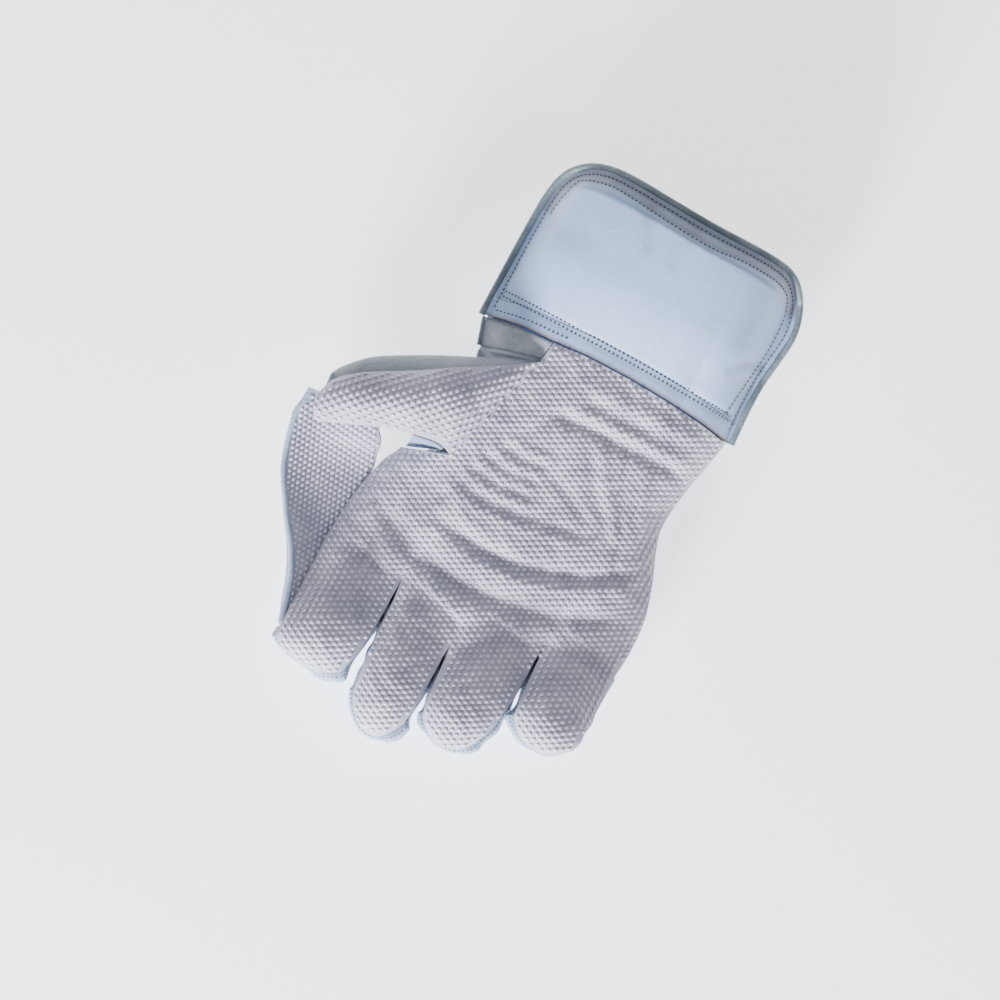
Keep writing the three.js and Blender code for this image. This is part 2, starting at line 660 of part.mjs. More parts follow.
// The leather of the thumb: a horn that opens on the hand and closes at the tip. Its root runs
// from the upper seam down the wrist gusset's edge, along the back and up to the crotch.
const thumbTop = rubberSeat(thumbIds.map(firstOf));
const thumbLow = rubberSeat(thumbIds.map(lastOf));
const HORN_STEPS = GUSSET_STEPS + CROTCH_ROW - THUMB_FIRST_ROW;
const thumbEnd = resample(rubberSeat(lastOf(thumbIds)), HORN_STEPS);
thumbEnd.forEach((p) => p.setZ(p.z - 2 * SEAM_GAP));
const onBack = (id) => back.points[id].clone().setZ(back.points[id].z + LEATHER + 2 * WRIST_GAP);
const gussetFoot = onBack(backIds[THUMB_FIRST_ROW][0]);
const gussetMiddle = thumbTop[0].clone().lerp(gussetFoot, 0.5);
gussetMiddle.z += GUSSET_RISE;
const gussetLow = resample([thumbTop[0], gussetMiddle, gussetFoot], GUSSET_STEPS);
const hornFoot = backIds.slice(THUMB_FIRST_ROW + 1, CROTCH_ROW).map(firstOf).map(onBack);
const hornRoot = [...gussetLow, ...hornFoot, thumbLow[0]];
const hornRise = new THREE.Vector3(thumbSide.x, thumbSide.y, 0);

function hornPoint(i, j) {
  const u = 1 - (1 - i / THUMB_ROWS) ** THUMB_SPACING;
  const turn = j / HORN_STEPS;
  const course = (name) => at(THUMB_COURSE, name, u);
  const across = (1 - Math.cos(Math.PI * turn)) / 2;
  const edge = thumbTop[i].clone().lerp(thumbLow[i], across);
  edge.lerp(thumbEnd[j], smooth((u - 0.8) / 0.2));
  edge.z -= course("depth") * THUMB_DEPTH * Math.sin(Math.PI * turn) ** 0.8;
  const bulge = HORN_PEAK * Math.sin(Math.PI * turn) * (1 - turn) ** 4;
  edge.addScaledVector(hornRise, course("swell") * THUMB_SWELL * bulge);
  return hornRoot[j].clone().lerp(edge, smooth(u / 0.45));
}

const horn = new Sheet();
const hornRows = thumbRows.map((_, i) => {
  return Array.from({ length: HORN_STEPS + 1 }, (__, j) => hornPoint(i, j));
});
horn.grid(hornRows, true);
add("thumb_back", horn.solid(LEATHER), PALE_LOOK);

// The web between thumb and index finger
const seamCourse = rubberSeat([...outerIds.map(firstOf), ...fingerIds.index.slice(1).map(firstOf)])
  .map((p) => ({ u: -p.y, x: p.x, z: p.z }));

function webPoint(u, s) {
  const course = (name) => at(WEB_COURSE, name, u);
  const outerY = course("outerAlong") * PALM_LENGTH;
  const innerY = course("innerAlong") * PALM_LENGTH;
  const seat = { x: at(seamCourse, "x", innerY), z: at(seamCourse, "z", innerY) };
  const inner = new THREE.Vector3(
    seat.x - SIDE_SWELL / 2 - 2 * SEAM_GAP - course("foot") * WEB_WIDTH, -innerY,
    seat.z - RUBBER + course("innerRise") * WEB_HEIGHT,
  );
  const outer = new THREE.Vector3(
    at(seamCourse, "x", outerY) - course("reach") * WEB_WIDTH, -outerY,
    course("outerRise") * WEB_HEIGHT,
  );
  return outer.lerp(inner, s);
}

const web = new Sheet();
const webIds = web.grid(Array.from({ length: WEB_ROWS + 1 }, (_, i) => {
  return Array.from({ length: WEB_STEPS + 1 }, (_, j) => webPoint(i / WEB_ROWS, j / WEB_STEPS));
}));
add("web_rubber", web.solid(RUBBER), RUBBER_LOOK);
const webBack = web.setBack(RUBBER + SEAM_GAP);
add("web_backing", webBack.solid(LEATHER), GREY_LOOK);

// A round cord of trim along a path
function trim(points, diameter, steps) {
  const ring = Array.from({ length: 8 }, (_, k) => {
    const turn = (k * Math.PI) / 4;
    return new THREE.Vector2(Math.cos(turn), Math.sin(turn)).multiplyScalar(diameter / 2);
  });
  const extrudePath = curve(points);
  return new THREE.ExtrudeGeometry(new THREE.Shape(ring), { steps, extrudePath, bevelEnabled: false });
}

// Points beside an edge that runs with its body on the right, at a distance in the plan
function beside(points, distance) {
  return points.map((p, k) => {
    const before = points[Math.max(k - 1, 0)];
    const after = points[Math.min(k + 1, points.length - 1)];
    const out = new THREE.Vector2(before.y - after.y, after.x - before.x).normalize();
    const seat = new THREE.Vector2(p.x, p.y).addScaledVector(out, distance);
    return new THREE.Vector3(seat.x, seat.y, p.z);
  });
}

const bindingSeat = BINDING_DIAMETER / 2 + 4 * SEAM_GAP;
const webEdge = webIds.slice(0, -1).map(firstOf).map((id) => webBack.points[id]).reverse();
const bindingPath = beside(webEdge, bindingSeat);
add("web_binding", trim(bindingPath, BINDING_DIAMETER, TRIM_STEPS.web), TRIM_LOOK);

// The cuff
const wristRow = rubberRows[0].map((p) => ({ u: p.x, y: p.y, z: p.z }));
const cuffMiddle = CUFF_MIDDLE * PALM_WIDTH;
const cuffPlace = (row) => {
  return new THREE.Vector2(cuffMiddle + row.across * CUFF_WIDTH, row.along * CUFF_LENGTH);
};
const cuffLeft = CUFF_LEFT.map(cuffPlace);
const cuffRight = CUFF_RIGHT.map(cuffPlace);
const cuffTop = CUFF_TOP.map(cuffPlace);
const cuffBase = [cuffLeft[0].x, cuffRight[0].x];

// The wrist line: along the rubber's top edge, and on to the cuff's left corner
const wristLine = [
  { u: cuffBase[0], y: cuffLeft[0].y, z: CUFF_SIDE_HEIGHT },
  {
    u: mix(cuffBase[0], wristRow[0].u, 0.5),
    y: wristRow[0].y,
    z: mix(CUFF_SIDE_HEIGHT, wristRow[0].z, CORNER_RISE),
  },
  ...wristRow,
];

const cuffShare = (x) => THREE.MathUtils.clamp((x - cuffBase[0]) / (cuffBase[1] - cuffBase[0]), 0, 1);

function cuffHeight(x, y) {
  const mouth = CUFF_SIDE_HEIGHT + CUFF_MOUTH_RISE * arch(cuffShare(x), END_POWER);
  return mix(at(wristLine, "z", x), mouth, smooth(y / CUFF_LENGTH));
}

// A patch between four edges in the plan, each a list of points
function patch(low, top, left, right, rows, steps, height) {
  const flat = (list) => list.map((p) => new THREE.Vector3(p.x, p.y, 0));
  const lowEdge = resample(flat(low), steps);
  const topEdge = resample(flat(top), steps);
  const leftEdge = resample(flat(left), rows);
  const rightEdge = resample(flat(right), rows);
  return Array.from({ length: rows + 1 }, (_, i) => {
    const t = 1 - i / rows;
    return Array.from({ length: steps + 1 }, (_, j) => {
      const s = j / steps;
      const p = leftEdge[rows - i].clone().lerp(rightEdge[rows - i], s);
      p.add(lowEdge[j].clone().lerp(topEdge[j], t));
      const corners = lowEdge[0].clone().lerp(lowEdge[steps], s)
        .lerp(topEdge[0].clone().lerp(topEdge[steps], s), t);
      p.sub(corners);
      p.z = height(p.x, p.y, s, t);
      return p;
    });
  });
}

const cuffAcross = (u) => mix(cuffBase[0], cuffBase[1], u);
const baseLine = (rise) => Array.from({ length: 11 }, (_, k) => {
  const x = cuffAcross(k / 10);
  return new THREE.Vector2(x, at(wristLine, "y", x) + rise);
});
// The part of a side above a level, starting on the given point
const sideAbove = (side, start) => [start, ...side.filter((p) => p.y > start.y + 2 * SEAM_GAP)];

const bandLow = baseLine(WRIST_GAP);
const bandTop = baseLine(BAND_HEIGHT);
const band = new Sheet();
const bandEnds = [0, 10].map((k) => [bandLow[k], bandTop[k]]);
band.grid(patch(bandLow, bandTop, bandEnds[0], bandEnds[1], 1, CUFF_COLUMNS, cuffHeight));
add("cuff_band", band.solid(CUFF_WALL), PALE_LOOK);

const padLow = baseLine(BAND_HEIGHT + SEAM_GAP);

// Height of the padding above its flat border
function padSwell(s, t) {
  const { sides, ends } = PAD_EASE;
  const across = smooth(sides * s) * smooth(sides * (1 - s));
  return CUFF_PAD * across * smooth(ends * t) * smooth(ends * (1 - t));
}

const pad = new Sheet();
const padWalls = [];
pad.grid(patch(
  padLow, cuffTop, sideAbove(cuffLeft, padLow[0]), sideAbove(cuffRight, padLow[10]), PAD_ROWS, CUFF_COLUMNS,
  (x, y, s, t) => {
    padWalls.push(CUFF_WALL + PAD_FILL * padSwell(s, t));
    return cuffHeight(x, y) + padSwell(s, t);
  },
));
add("cuff_front_pad", pad.solid(padWalls), PALE_LOOK);

// The back of the cuff, a tray that meets the front along the piping
const backWrist = backRows[0].map((p) => ({ u: p.x, y: p.y }));
const trayLow = Array.from({ length: 11 }, (_, k) => {
  const x = cuffAcross(k / 10);
  return new THREE.Vector2(x, at(backWrist, "y", x) + WRIST_GAP);
});
const cuffTray = new Sheet();
cuffTray.grid(patch(
  trayLow, cuffTop, sideAbove(cuffLeft, trayLow[0]), sideAbove(cuffRight, trayLow[10]), TRAY_ROWS, CUFF_COLUMNS,
  (x) => trayHeight * tray(cuffShare(x)),
), true);
add("cuff_back", cuffTray.solid(CUFF_WALL), PALE_LOOK);

// Piping round the front, and along the mouth of the back
function outlinePath(points, height) {
  const edge = points.map((p) => new THREE.Vector3(p.x, p.y, height(p.x, p.y)));
  return beside(edge, PIPING_DIAMETER / 2 + SEAM_GAP);
}

const outline = [...cuffLeft, ...cuffTop.slice(1, -1), ...[...cuffRight].reverse()];
const frontPath = outlinePath(outline, (x, y) => cuffHeight(x, y) - CUFF_WALL / 2);
add("cuff_front_piping", trim(frontPath, PIPING_DIAMETER, TRIM_STEPS.front), TRIM_LOOK);
const backPath = outlinePath(cuffTop.slice(1, -1), (x) => {
  return PIPING_DIAMETER / 2 + SEAM_GAP + trayHeight * tray(cuffShare(x));
});
add("cuff_back_piping", trim(backPath, PIPING_DIAMETER, TRIM_STEPS.back), TRIM_LOOK);

// The wrist gusset between the cuff, the thumb and the back
const gussetTop = resample([...Array(5)].map((_, k) => {
  const x = mix(wristRow[0].u - WRIST_GAP, cuffBase[0], k / 4);
  return new THREE.Vector3(x, at(wristLine, "y", x) - SEAM_GAP, at(wristLine, "z", x));
}), GUSSET_STEPS);
const gusset = new Sheet();
const gussetRows = [0, 1, 2, 3].map((i) => gussetTop.map((p, j) => {
  const low = gussetLow[j].clone();
  low.y += 2 * WRIST_GAP;
  return p.clone().lerp(low, i / 3);
}).reverse());
gusset.grid(gussetRows);
add("wrist_gusset", gusset.solid(LEATHER), GREY_LOOK);

// The leather at the bottom of the thumb's crotch, between the thumb and the index finger
const crotchRows = [0, 1, 2, 3, 4].map((i) => {
  const share = mix(CROTCH_START, 1, i / 4);
  const thumbEdge = curve(thumbLow.slice(0, CROTCH_THUMB_ROWS)).getPointAt(share);
  const indexEdge = curve(rubberSeat([...outerIds[0]].reverse())).getPointAt(share);
  thumbEdge.y -= WRIST_GAP + LEATHER + SEAM_GAP;
  thumbEdge.z -= LEATHER;
  indexEdge.y += 2 * SEAM_GAP + SIDE_SWELL;
  indexEdge.z -= LEATHER;
  return [0, 1, 2, 3].map((j) => {
    const p = thumbEdge.clone().lerp(indexEdge, j / 3);
    p.z -= CROTCH_SAG * arch(j / 3) * share;
    return p;
  });
});
const crotch = new Sheet();
crotch.grid(crotchRows);
add("thumb_crotch", crotch.solid(LEATHER), GREY_LOOK);

const box = new THREE.Box3().setFromObject(glove);
const centre = box.getCenter(new THREE.Vector3());
glove.position.set(-centre.x, -centre.y, -box.min.z);

export default glove;
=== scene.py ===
"""Looks of a wicketkeeping glove that lies on its back with the palm up.

Shapes are worked out in millimetres about the middle of the wrist seam, with -Y to the
fingertips, +Y to the cuff mouth, +X to the little finger and +Z out of the palm. They are
moved to the frame and turned into metres when they become meshes.
"""

import json
import logging
import math
from copy import copy
from dataclasses import dataclass, field
from enum import Enum
from functools import cache
from typing import Callable, Iterable, Optional, Sequence

import bpy
import numpy as np
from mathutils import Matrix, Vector
from mathutils.bvhtree import BVHTree

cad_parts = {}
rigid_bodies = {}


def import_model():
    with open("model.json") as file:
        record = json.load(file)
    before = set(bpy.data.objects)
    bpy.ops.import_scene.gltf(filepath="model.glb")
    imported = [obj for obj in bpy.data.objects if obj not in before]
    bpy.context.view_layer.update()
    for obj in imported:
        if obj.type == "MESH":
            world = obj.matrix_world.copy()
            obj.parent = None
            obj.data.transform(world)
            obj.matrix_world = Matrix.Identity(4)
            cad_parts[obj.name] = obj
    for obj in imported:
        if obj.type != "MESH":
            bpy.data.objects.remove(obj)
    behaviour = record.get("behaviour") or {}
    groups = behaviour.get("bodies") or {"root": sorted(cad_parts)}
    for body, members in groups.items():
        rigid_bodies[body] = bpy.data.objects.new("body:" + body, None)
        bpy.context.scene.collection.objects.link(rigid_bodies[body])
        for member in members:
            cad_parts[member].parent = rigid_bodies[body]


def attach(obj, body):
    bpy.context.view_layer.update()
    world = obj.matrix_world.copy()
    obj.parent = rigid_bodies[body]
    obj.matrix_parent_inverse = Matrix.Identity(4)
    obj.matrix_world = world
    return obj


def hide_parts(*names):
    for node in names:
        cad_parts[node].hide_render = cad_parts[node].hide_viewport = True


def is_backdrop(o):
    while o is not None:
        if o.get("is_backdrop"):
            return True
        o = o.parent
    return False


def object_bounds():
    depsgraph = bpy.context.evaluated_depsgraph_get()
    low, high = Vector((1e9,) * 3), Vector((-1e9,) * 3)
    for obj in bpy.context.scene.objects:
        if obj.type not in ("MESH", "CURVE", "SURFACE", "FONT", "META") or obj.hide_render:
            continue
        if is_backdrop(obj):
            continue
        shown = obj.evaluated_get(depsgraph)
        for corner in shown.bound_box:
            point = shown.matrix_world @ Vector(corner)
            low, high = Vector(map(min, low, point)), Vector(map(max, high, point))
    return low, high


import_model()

LOG = logging.getLogger("glove")
Array = np.ndarray

# From the middle of the wrist seam to the frame's origin, in millimetres
FRAME_SHIFT = np.array([48.0265, 62.4217, 0.0])

# A height above everything, from which places of the plan are dropped
DROP_HEIGHT = 200.0

# The least length that anything is divided by
TINY = 1e-9


class Slot(Enum):
    """The record's material slots."""

    RUBBER = "pimpled_rubber"
    PALE = "pale_leather"
    GREY = "grey_leather"
    TRIM = "piping"


# Numbers and lines


def mix(a: Array, b: Array, t: Array) -> Array:
    """Returns the value that lies the share t of the way from a to b."""
    return a + (b - a) * t


def smooth(t: Array) -> Array:
    """Returns a soft step from 0 to 1 as t goes from 0 to 1."""
    c = np.clip(t, 0.0, 1.0)
    return c * c * (3 - 2 * c)


def arch(s: Array, power: float = 2.0) -> Array:
    """Returns an arch over s from 0 to 1, with 1 at its middle."""
    return 1 - np.abs(2 * np.asarray(s, float) - 1) ** power


def smooth_line(stations: Array, values: Array, u: Array) -> Array:
    """Reads a smooth line through values at rising stations.

    Args:
        stations: Where the values stand.
        values: The values.
        u: Where the line is read.

    Returns:
        The line's values at u.
    """
    last = len(stations) - 1
    index = np.arange(last + 1)
    before = np.maximum(index - 1, 0)
    after = np.minimum(index + 1, last)
    slopes = (values[after] - values[before]) / (stations[after] - stations[before])
    k = np.clip(np.searchsorted(stations, u) - 1, 0, last - 1)
    span = stations[k + 1] - stations[k]
    t = np.clip((u - stations[k]) / span, 0.0, 1.0)
    bend = t * (1 - t) * span * (slopes[k] * (1 - t) - slopes[k + 1] * t)
    return mix(values[k], values[k + 1], t * t * (3 - 2 * t)) + bend


class Table:
    """Rows of shares under named columns. The first column holds the stations."""

    def __init__(self, columns: str, rows: Sequence[Sequence[float]]) -> None:
        """Keeps the rows.

        Args:
            columns: The names, parted by blanks.
            rows: One list of numbers for each station.
        """
        self.names = columns.split()
        self.rows = np.array(rows, float)

    def at(self, name: str, u: Array) -> Array:
        """Returns a column's smooth line at the stations u, or nought without that column."""
        if name not in self.names:
            return 0.0
        return smooth_line(self.rows[:, 0], self.rows[:, self.names.index(name)], u)

    def all_at(self, u: Array) -> dict[str, Array]:
        """Returns every column's value at u."""
        return {name: self.at(name, u) for name in self.names}


def resample(points: Sequence[Array], count: int) -> Array:
    """Spreads points evenly along a smooth line.

    Args:
        points: The points that the line passes through.
        count: The number of equal steps.

    Returns:
        One more point than there are steps.
    """
    given = np.asarray(points, float)
    steps = np.linalg.norm(np.diff(given, axis=0), axis=1)
    if len(given) > 2:
        knots = np.concatenate([[0.0], np.cumsum(np.sqrt(np.maximum(steps, TINY)))])
        fine = np.linspace(0.0, knots[-1], 24 * len(given))
        fine = np.unique(np.concatenate([fine, knots]))
        dense = np.stack([smooth_line(knots, column, fine) for column in given.T], axis=1)
    else:
        dense = given
    lengths = np.linalg.norm(np.diff(dense, axis=0), axis=1)
    along = np.concatenate([[0.0], np.cumsum(lengths)])
    wanted = np.linspace(0.0, along[-1], count + 1)
    return np.stack([np.interp(wanted, along, column) for column in dense.T], axis=1)


def flat(plan: Sequence[Sequence[float]]) -> Array:
    """Returns places of the plan as points at no height."""
    places = np.array([place[:2] for place in plan], float)
    return np.c_[places, np.zeros(len(places))]


def unit(vectors: Array) -> Array:
    """Returns vectors of length 1 that point the same way."""
    return vectors / np.maximum(np.linalg.norm(vectors, axis=-1, keepdims=True), TINY)


def beside(points: Array, distance: float) -> Array:
    """Moves a line sideways in the plan, to the left of its run.

    Args:
        points: The line's points.
        distance: How far, in millimetres. A negative one moves it to the right.

    Returns:
        The moved points.
    """
    moved = np.array(points, float)
    run = np.gradient(moved[:, :2], axis=0)
    moved[:, :2] += unit(np.stack([-run[:, 1], run[:, 0]], axis=1)) * distance
    return moved


def distance_to_line(x: Array, y: Array, line: Sequence[Sequence[float]]) -> Array:
    """Returns how far places in the plan lie from a line of points.

    Args:
        x: The places.
        y: The places.
        line: The points of the line in the plan.

    Returns:
        The least distance of each place.
    """
    nearest = np.full(np.shape(x), 1e9)
    for (ax, ay), (bx, by) in zip(line[:-1], line[1:]):
        run = np.array([bx - ax, by - ay])
        t = np.clip(((x - ax) * run[0] + (y - ay) * run[1]) / (run @ run), 0.0, 1.0)
        nearest = np.minimum(nearest, np.hypot(x - ax - t * run[0], y - ay - t * run[1]))
    return nearest


def relief(x: Array, y: Array, ridges: Iterable[tuple]) -> Array:
    """Returns the height of soft ridges.

    Args:
        x: Where it is read.
        y: Where it is read.
        ridges: Half width and height of each, and its line in the plan. A groove has a height
            below nought.

    Returns:
        The sum of all ridges.
    """
    rise = np.zeros(np.shape(x))
    for width, height, line in ridges:
        rise += height * np.exp(-(distance_to_line(x, y, line) / width) ** 2)
    return rise


# Sheets and meshes


class Sheet:
    """A surface made of grids of points that are joined where they share a point."""

    def __init__(self) -> None:
        """Starts an empty sheet."""
        self.blocks: list[Array] = []
        self.shades: list[Array] = []
        self.flips: list[bool] = []
        self.ids: list[Array] = []
        self.names: list[str] = []
        self.points = np.zeros((0, 3))
        self.shade = np.zeros(0)
        self.faces: list[tuple[int, ...]] = []
        self.normals = np.zeros((0, 3))

    def grid(self, rows: Array, flip: bool = False, shade: Optional[Array] = None,
             name: str = "") -> "Sheet":
        """Adds rows of points. The front shows when rows run down and columns run right.

        Args:
            rows: Points as rows by columns by 3.
            flip: Turns the front to the other side.
            shade: How dark each point is painted, for seam lines and for painted shade.
            name: The part's name.

        Returns:
            The sheet itself.
        """
        block = np.asarray(rows, float)
        self.blocks.append(block)
        self.flips.append(flip)
        self.shades.append(np.zeros(block.shape[:2]) if shade is None else shade)
        self.names.append(name)
        return self

    def part(self, name: str = "") -> Array:
        """Returns the corners of one part, as rows and columns."""
        return self.ids[self.names.index(name)]

    def join(self) -> "Sheet":
        """Merges shared points, works out faces and normals, and returns the sheet."""
        everything = np.concatenate([block.reshape(-1, 3) for block in self.blocks])
        shades = np.concatenate([shade.reshape(-1) for shade in self.shades])
        keys = np.round(everything, 3)
        _, first, inverse = np.unique(keys, axis=0, return_index=True, return_inverse=True)
        inverse = inverse.reshape(-1)
        self.points = everything[first]
        self.shade = shades[first]
        start = 0
        quads = []
        for block, flip in zip(self.blocks, self.flips):
            height, width = block.shape[:2]
            ids = inverse[start:start + height * width].reshape(height, width)
            start += height * width
            self.ids.append(ids)
            corners = [ids[:-1, :-1], ids[1:, :-1], ids[1:, 1:], ids[:-1, 1:]]
            quad = np.stack(corners, axis=-1).reshape(-1, 4)
            quads.append(quad[:, ::-1] if flip else quad)
        quads = np.concatenate(quads)
        p = self.points
        sides = np.cross(p[quads[:, 2]] - p[quads[:, 0]], p[quads[:, 3]] - p[quads[:, 1]])
        sums = np.zeros_like(p)
        for corner in range(4):
            np.add.at(sums, quads[:, corner], sides)
        self.normals = unit(sums)
        faces = [tuple(v for k, v in enumerate(quad) if v != quad[k - 1]) for quad in quads.tolist()]
        self.faces = [face for face in faces if len(face) > 2]
        return self

    def set_back(self, distance: float) -> "Sheet":
        """Returns a copy that is set back along the normals."""
        moved = copy(self)
        moved.points = self.points - self.normals * distance
        return moved

    def seat(self, ids: Array, wall: float) -> Array:
        """Returns the points just inside the sheet's wall, at some of its corners."""
        return self.points[ids] - self.normals[ids] * wall

    def rim(self) -> list[tuple[int, int]]:
        """Returns the edges that only one face has."""
        edges = set()
        for face in self.faces:
            edges.update(zip(face, face[1:] + face[:1]))
        return [(a, b) for a, b in edges if (b, a) not in edges]

    def solid(self, wall: Array) -> tuple[Array, list[tuple[int, ...]], Array]:
        """Gives the sheet its thickness.

        Args:
            wall: The thickness, or one for each point.

        Returns:
            Points, faces and shades of one closed body.
        """
        count = len(self.points)
        depth = np.broadcast_to(np.asarray(wall, float), (count,))
        back = self.points - self.normals * depth[:, None]
        faces = list(self.faces)
        faces += [tuple(v + count for v in reversed(face)) for face in self.faces]
        faces += [(b, a, a + count, b + count) for a, b in sorted(self.rim())]
        return np.concatenate([self.points, back]), faces, np.tile(self.shade, 2)


def probe(points: Array, faces: Sequence[tuple[int, ...]]) -> BVHTree:
    """Returns a tree that finds places on faces."""
    return BVHTree.FromPolygons(points.tolist(), faces)


def land(tree: BVHTree, x: float, y: float) -> tuple[Optional[Vector], Optional[Vector]]:
    """Returns where a place of the plan falls, and the way out of the sheet there.

    Args:
        tree: Finds places on the sheet.
        x: The place.
        y: The place.

    Returns:
        The point and the way up from it, or nothing twice where it falls past the sheet.
    """
    hit, normal, _, _ = tree.ray_cast(Vector((x, y, DROP_HEIGHT)), Vector((0, 0, -1)))
    if hit is None:
        return None, None
    return hit, normal if normal.z > 0 else -normal


def link(name: str, data: bpy.types.ID) -> bpy.types.Object:
    """Makes an object from its data and puts it in the scene.

    Args:
        name: The object's name.
        data: Its mesh, camera or light.

    Returns:
        The object.
    """
    made = bpy.data.objects.new(name, data)
    bpy.context.scene.collection.objects.link(made)
    return made


def make_mesh(name: str, points: Array, faces: Sequence[tuple[int, ...]],
              edges: Sequence[tuple[int, int]] = ()) -> bpy.types.Object:
    """Makes an object from points in millimetres.

    Args:
        name: The object's name.
        points: The glove's own points.
        faces: Corners of the faces.
        edges: Ends of the edges, where there are no faces.

    Returns:
        The object, linked to the scene.
    """
    mesh = bpy.data.meshes.new(name)
    mesh.from_pydata(((points + FRAME_SHIFT) / 1000).tolist(), list(edges), list(faces))
    mesh.update()
    return link(name, mesh)


def store(made: bpy.types.Object, name: str, values: Array, kind: str = "FLOAT") -> None:
    """Keeps a value for each point of a mesh as a named attribute.

    Args:
        made: The object with the mesh.
        name: The attribute's name.
        values: One value or vector for each point.
        kind: The type of the values.
    """
    attribute = made.data.attributes.new(name, kind, "POINT")
    key = "vector" if kind == "FLOAT_VECTOR" else "value"
    attribute.data.foreach_set(key, np.asarray(values, np.float32).ravel())


# Node trees


class Wiring:
    """Adds nodes to a tree and links them."""

    def __init__(self, tree: bpy.types.NodeTree) -> None:
        """Takes the tree that is wired."""
        self.tree = tree

    def node(self, kind: str, values: Optional[dict] = None, **settings: object) -> bpy.types.Node:
        """Adds a node.

        Args:
            kind: Blender's name of the node's type.
            values: Inputs by name or number. A socket is linked, anything else is set.
            **settings: The node's own properties.

        Returns:
            The node.
        """
        made = self.tree.nodes.new(kind)
        for key, value in settings.items():
            setattr(made, key, value)
        for key, value in (values or {}).items():
            if isinstance(value, bpy.types.NodeSocket):
                self.tree.links.new(value, made.inputs[key])
            else:
                made.inputs[key].default_value = value
        return made

    def ramp(self, factor: bpy.types.NodeSocket, low: float, high: float) -> bpy.types.NodeSocket:
        """Returns a soft step from 0 at low to 1 at high."""
        values = {"Value": factor, "From Min": low, "From Max": high}
        step = self.node("ShaderNodeMapRange", values, interpolation_type="SMOOTHSTEP")
        return step.outputs["Result"]

    def blend(self, factor: object, a: object, b: object, how: str = "MIX") -> bpy.types.NodeSocket:
        """Returns colours a and b mixed by a factor."""
        values = {0: factor, 6: a, 7: b}
        return self.node("ShaderNodeMix", values, data_type="RGBA", blend_type=how).outputs[2]

    def math(self, how: str, *values: object) -> bpy.types.NodeSocket:
        """Returns what an operation makes of its values."""
        return self.node("ShaderNodeMath", dict(enumerate(values)), operation=how).outputs[0]

    def stored(self, name: str) -> bpy.types.NodeSocket:
        """Returns a value that the mesh keeps for each point."""
        return self.node("ShaderNodeAttribute", attribute_name=name).outputs["Fac"]

    def bump(self, height: bpy.types.NodeSocket, depth: float, **base: object) -> bpy.types.NodeSocket:
        """Returns normals bent by a height whose depth is in millimetres."""
        values = {"Strength": 1.0, "Distance": depth / 1000, "Height": height, **base}
        return self.node("ShaderNodeBump", values).outputs["Normal"]


def paint(red: float, green: float, blue: float) -> tuple[float, float, float, float]:
    """Returns a colour for the shader from its screen values, 0 to 255.

    Args:
        red: The red value.
        green: The green value.
        blue: The blue value.

    Returns:
        The linear colour with its alpha.
    """
    screen = np.array([red, green, blue]) / 255
    linear = np.where(screen <= 0.04045, screen / 12.92, ((screen + 0.055) / 1.055) ** 2.4)
    return (*linear.tolist(), 1.0)


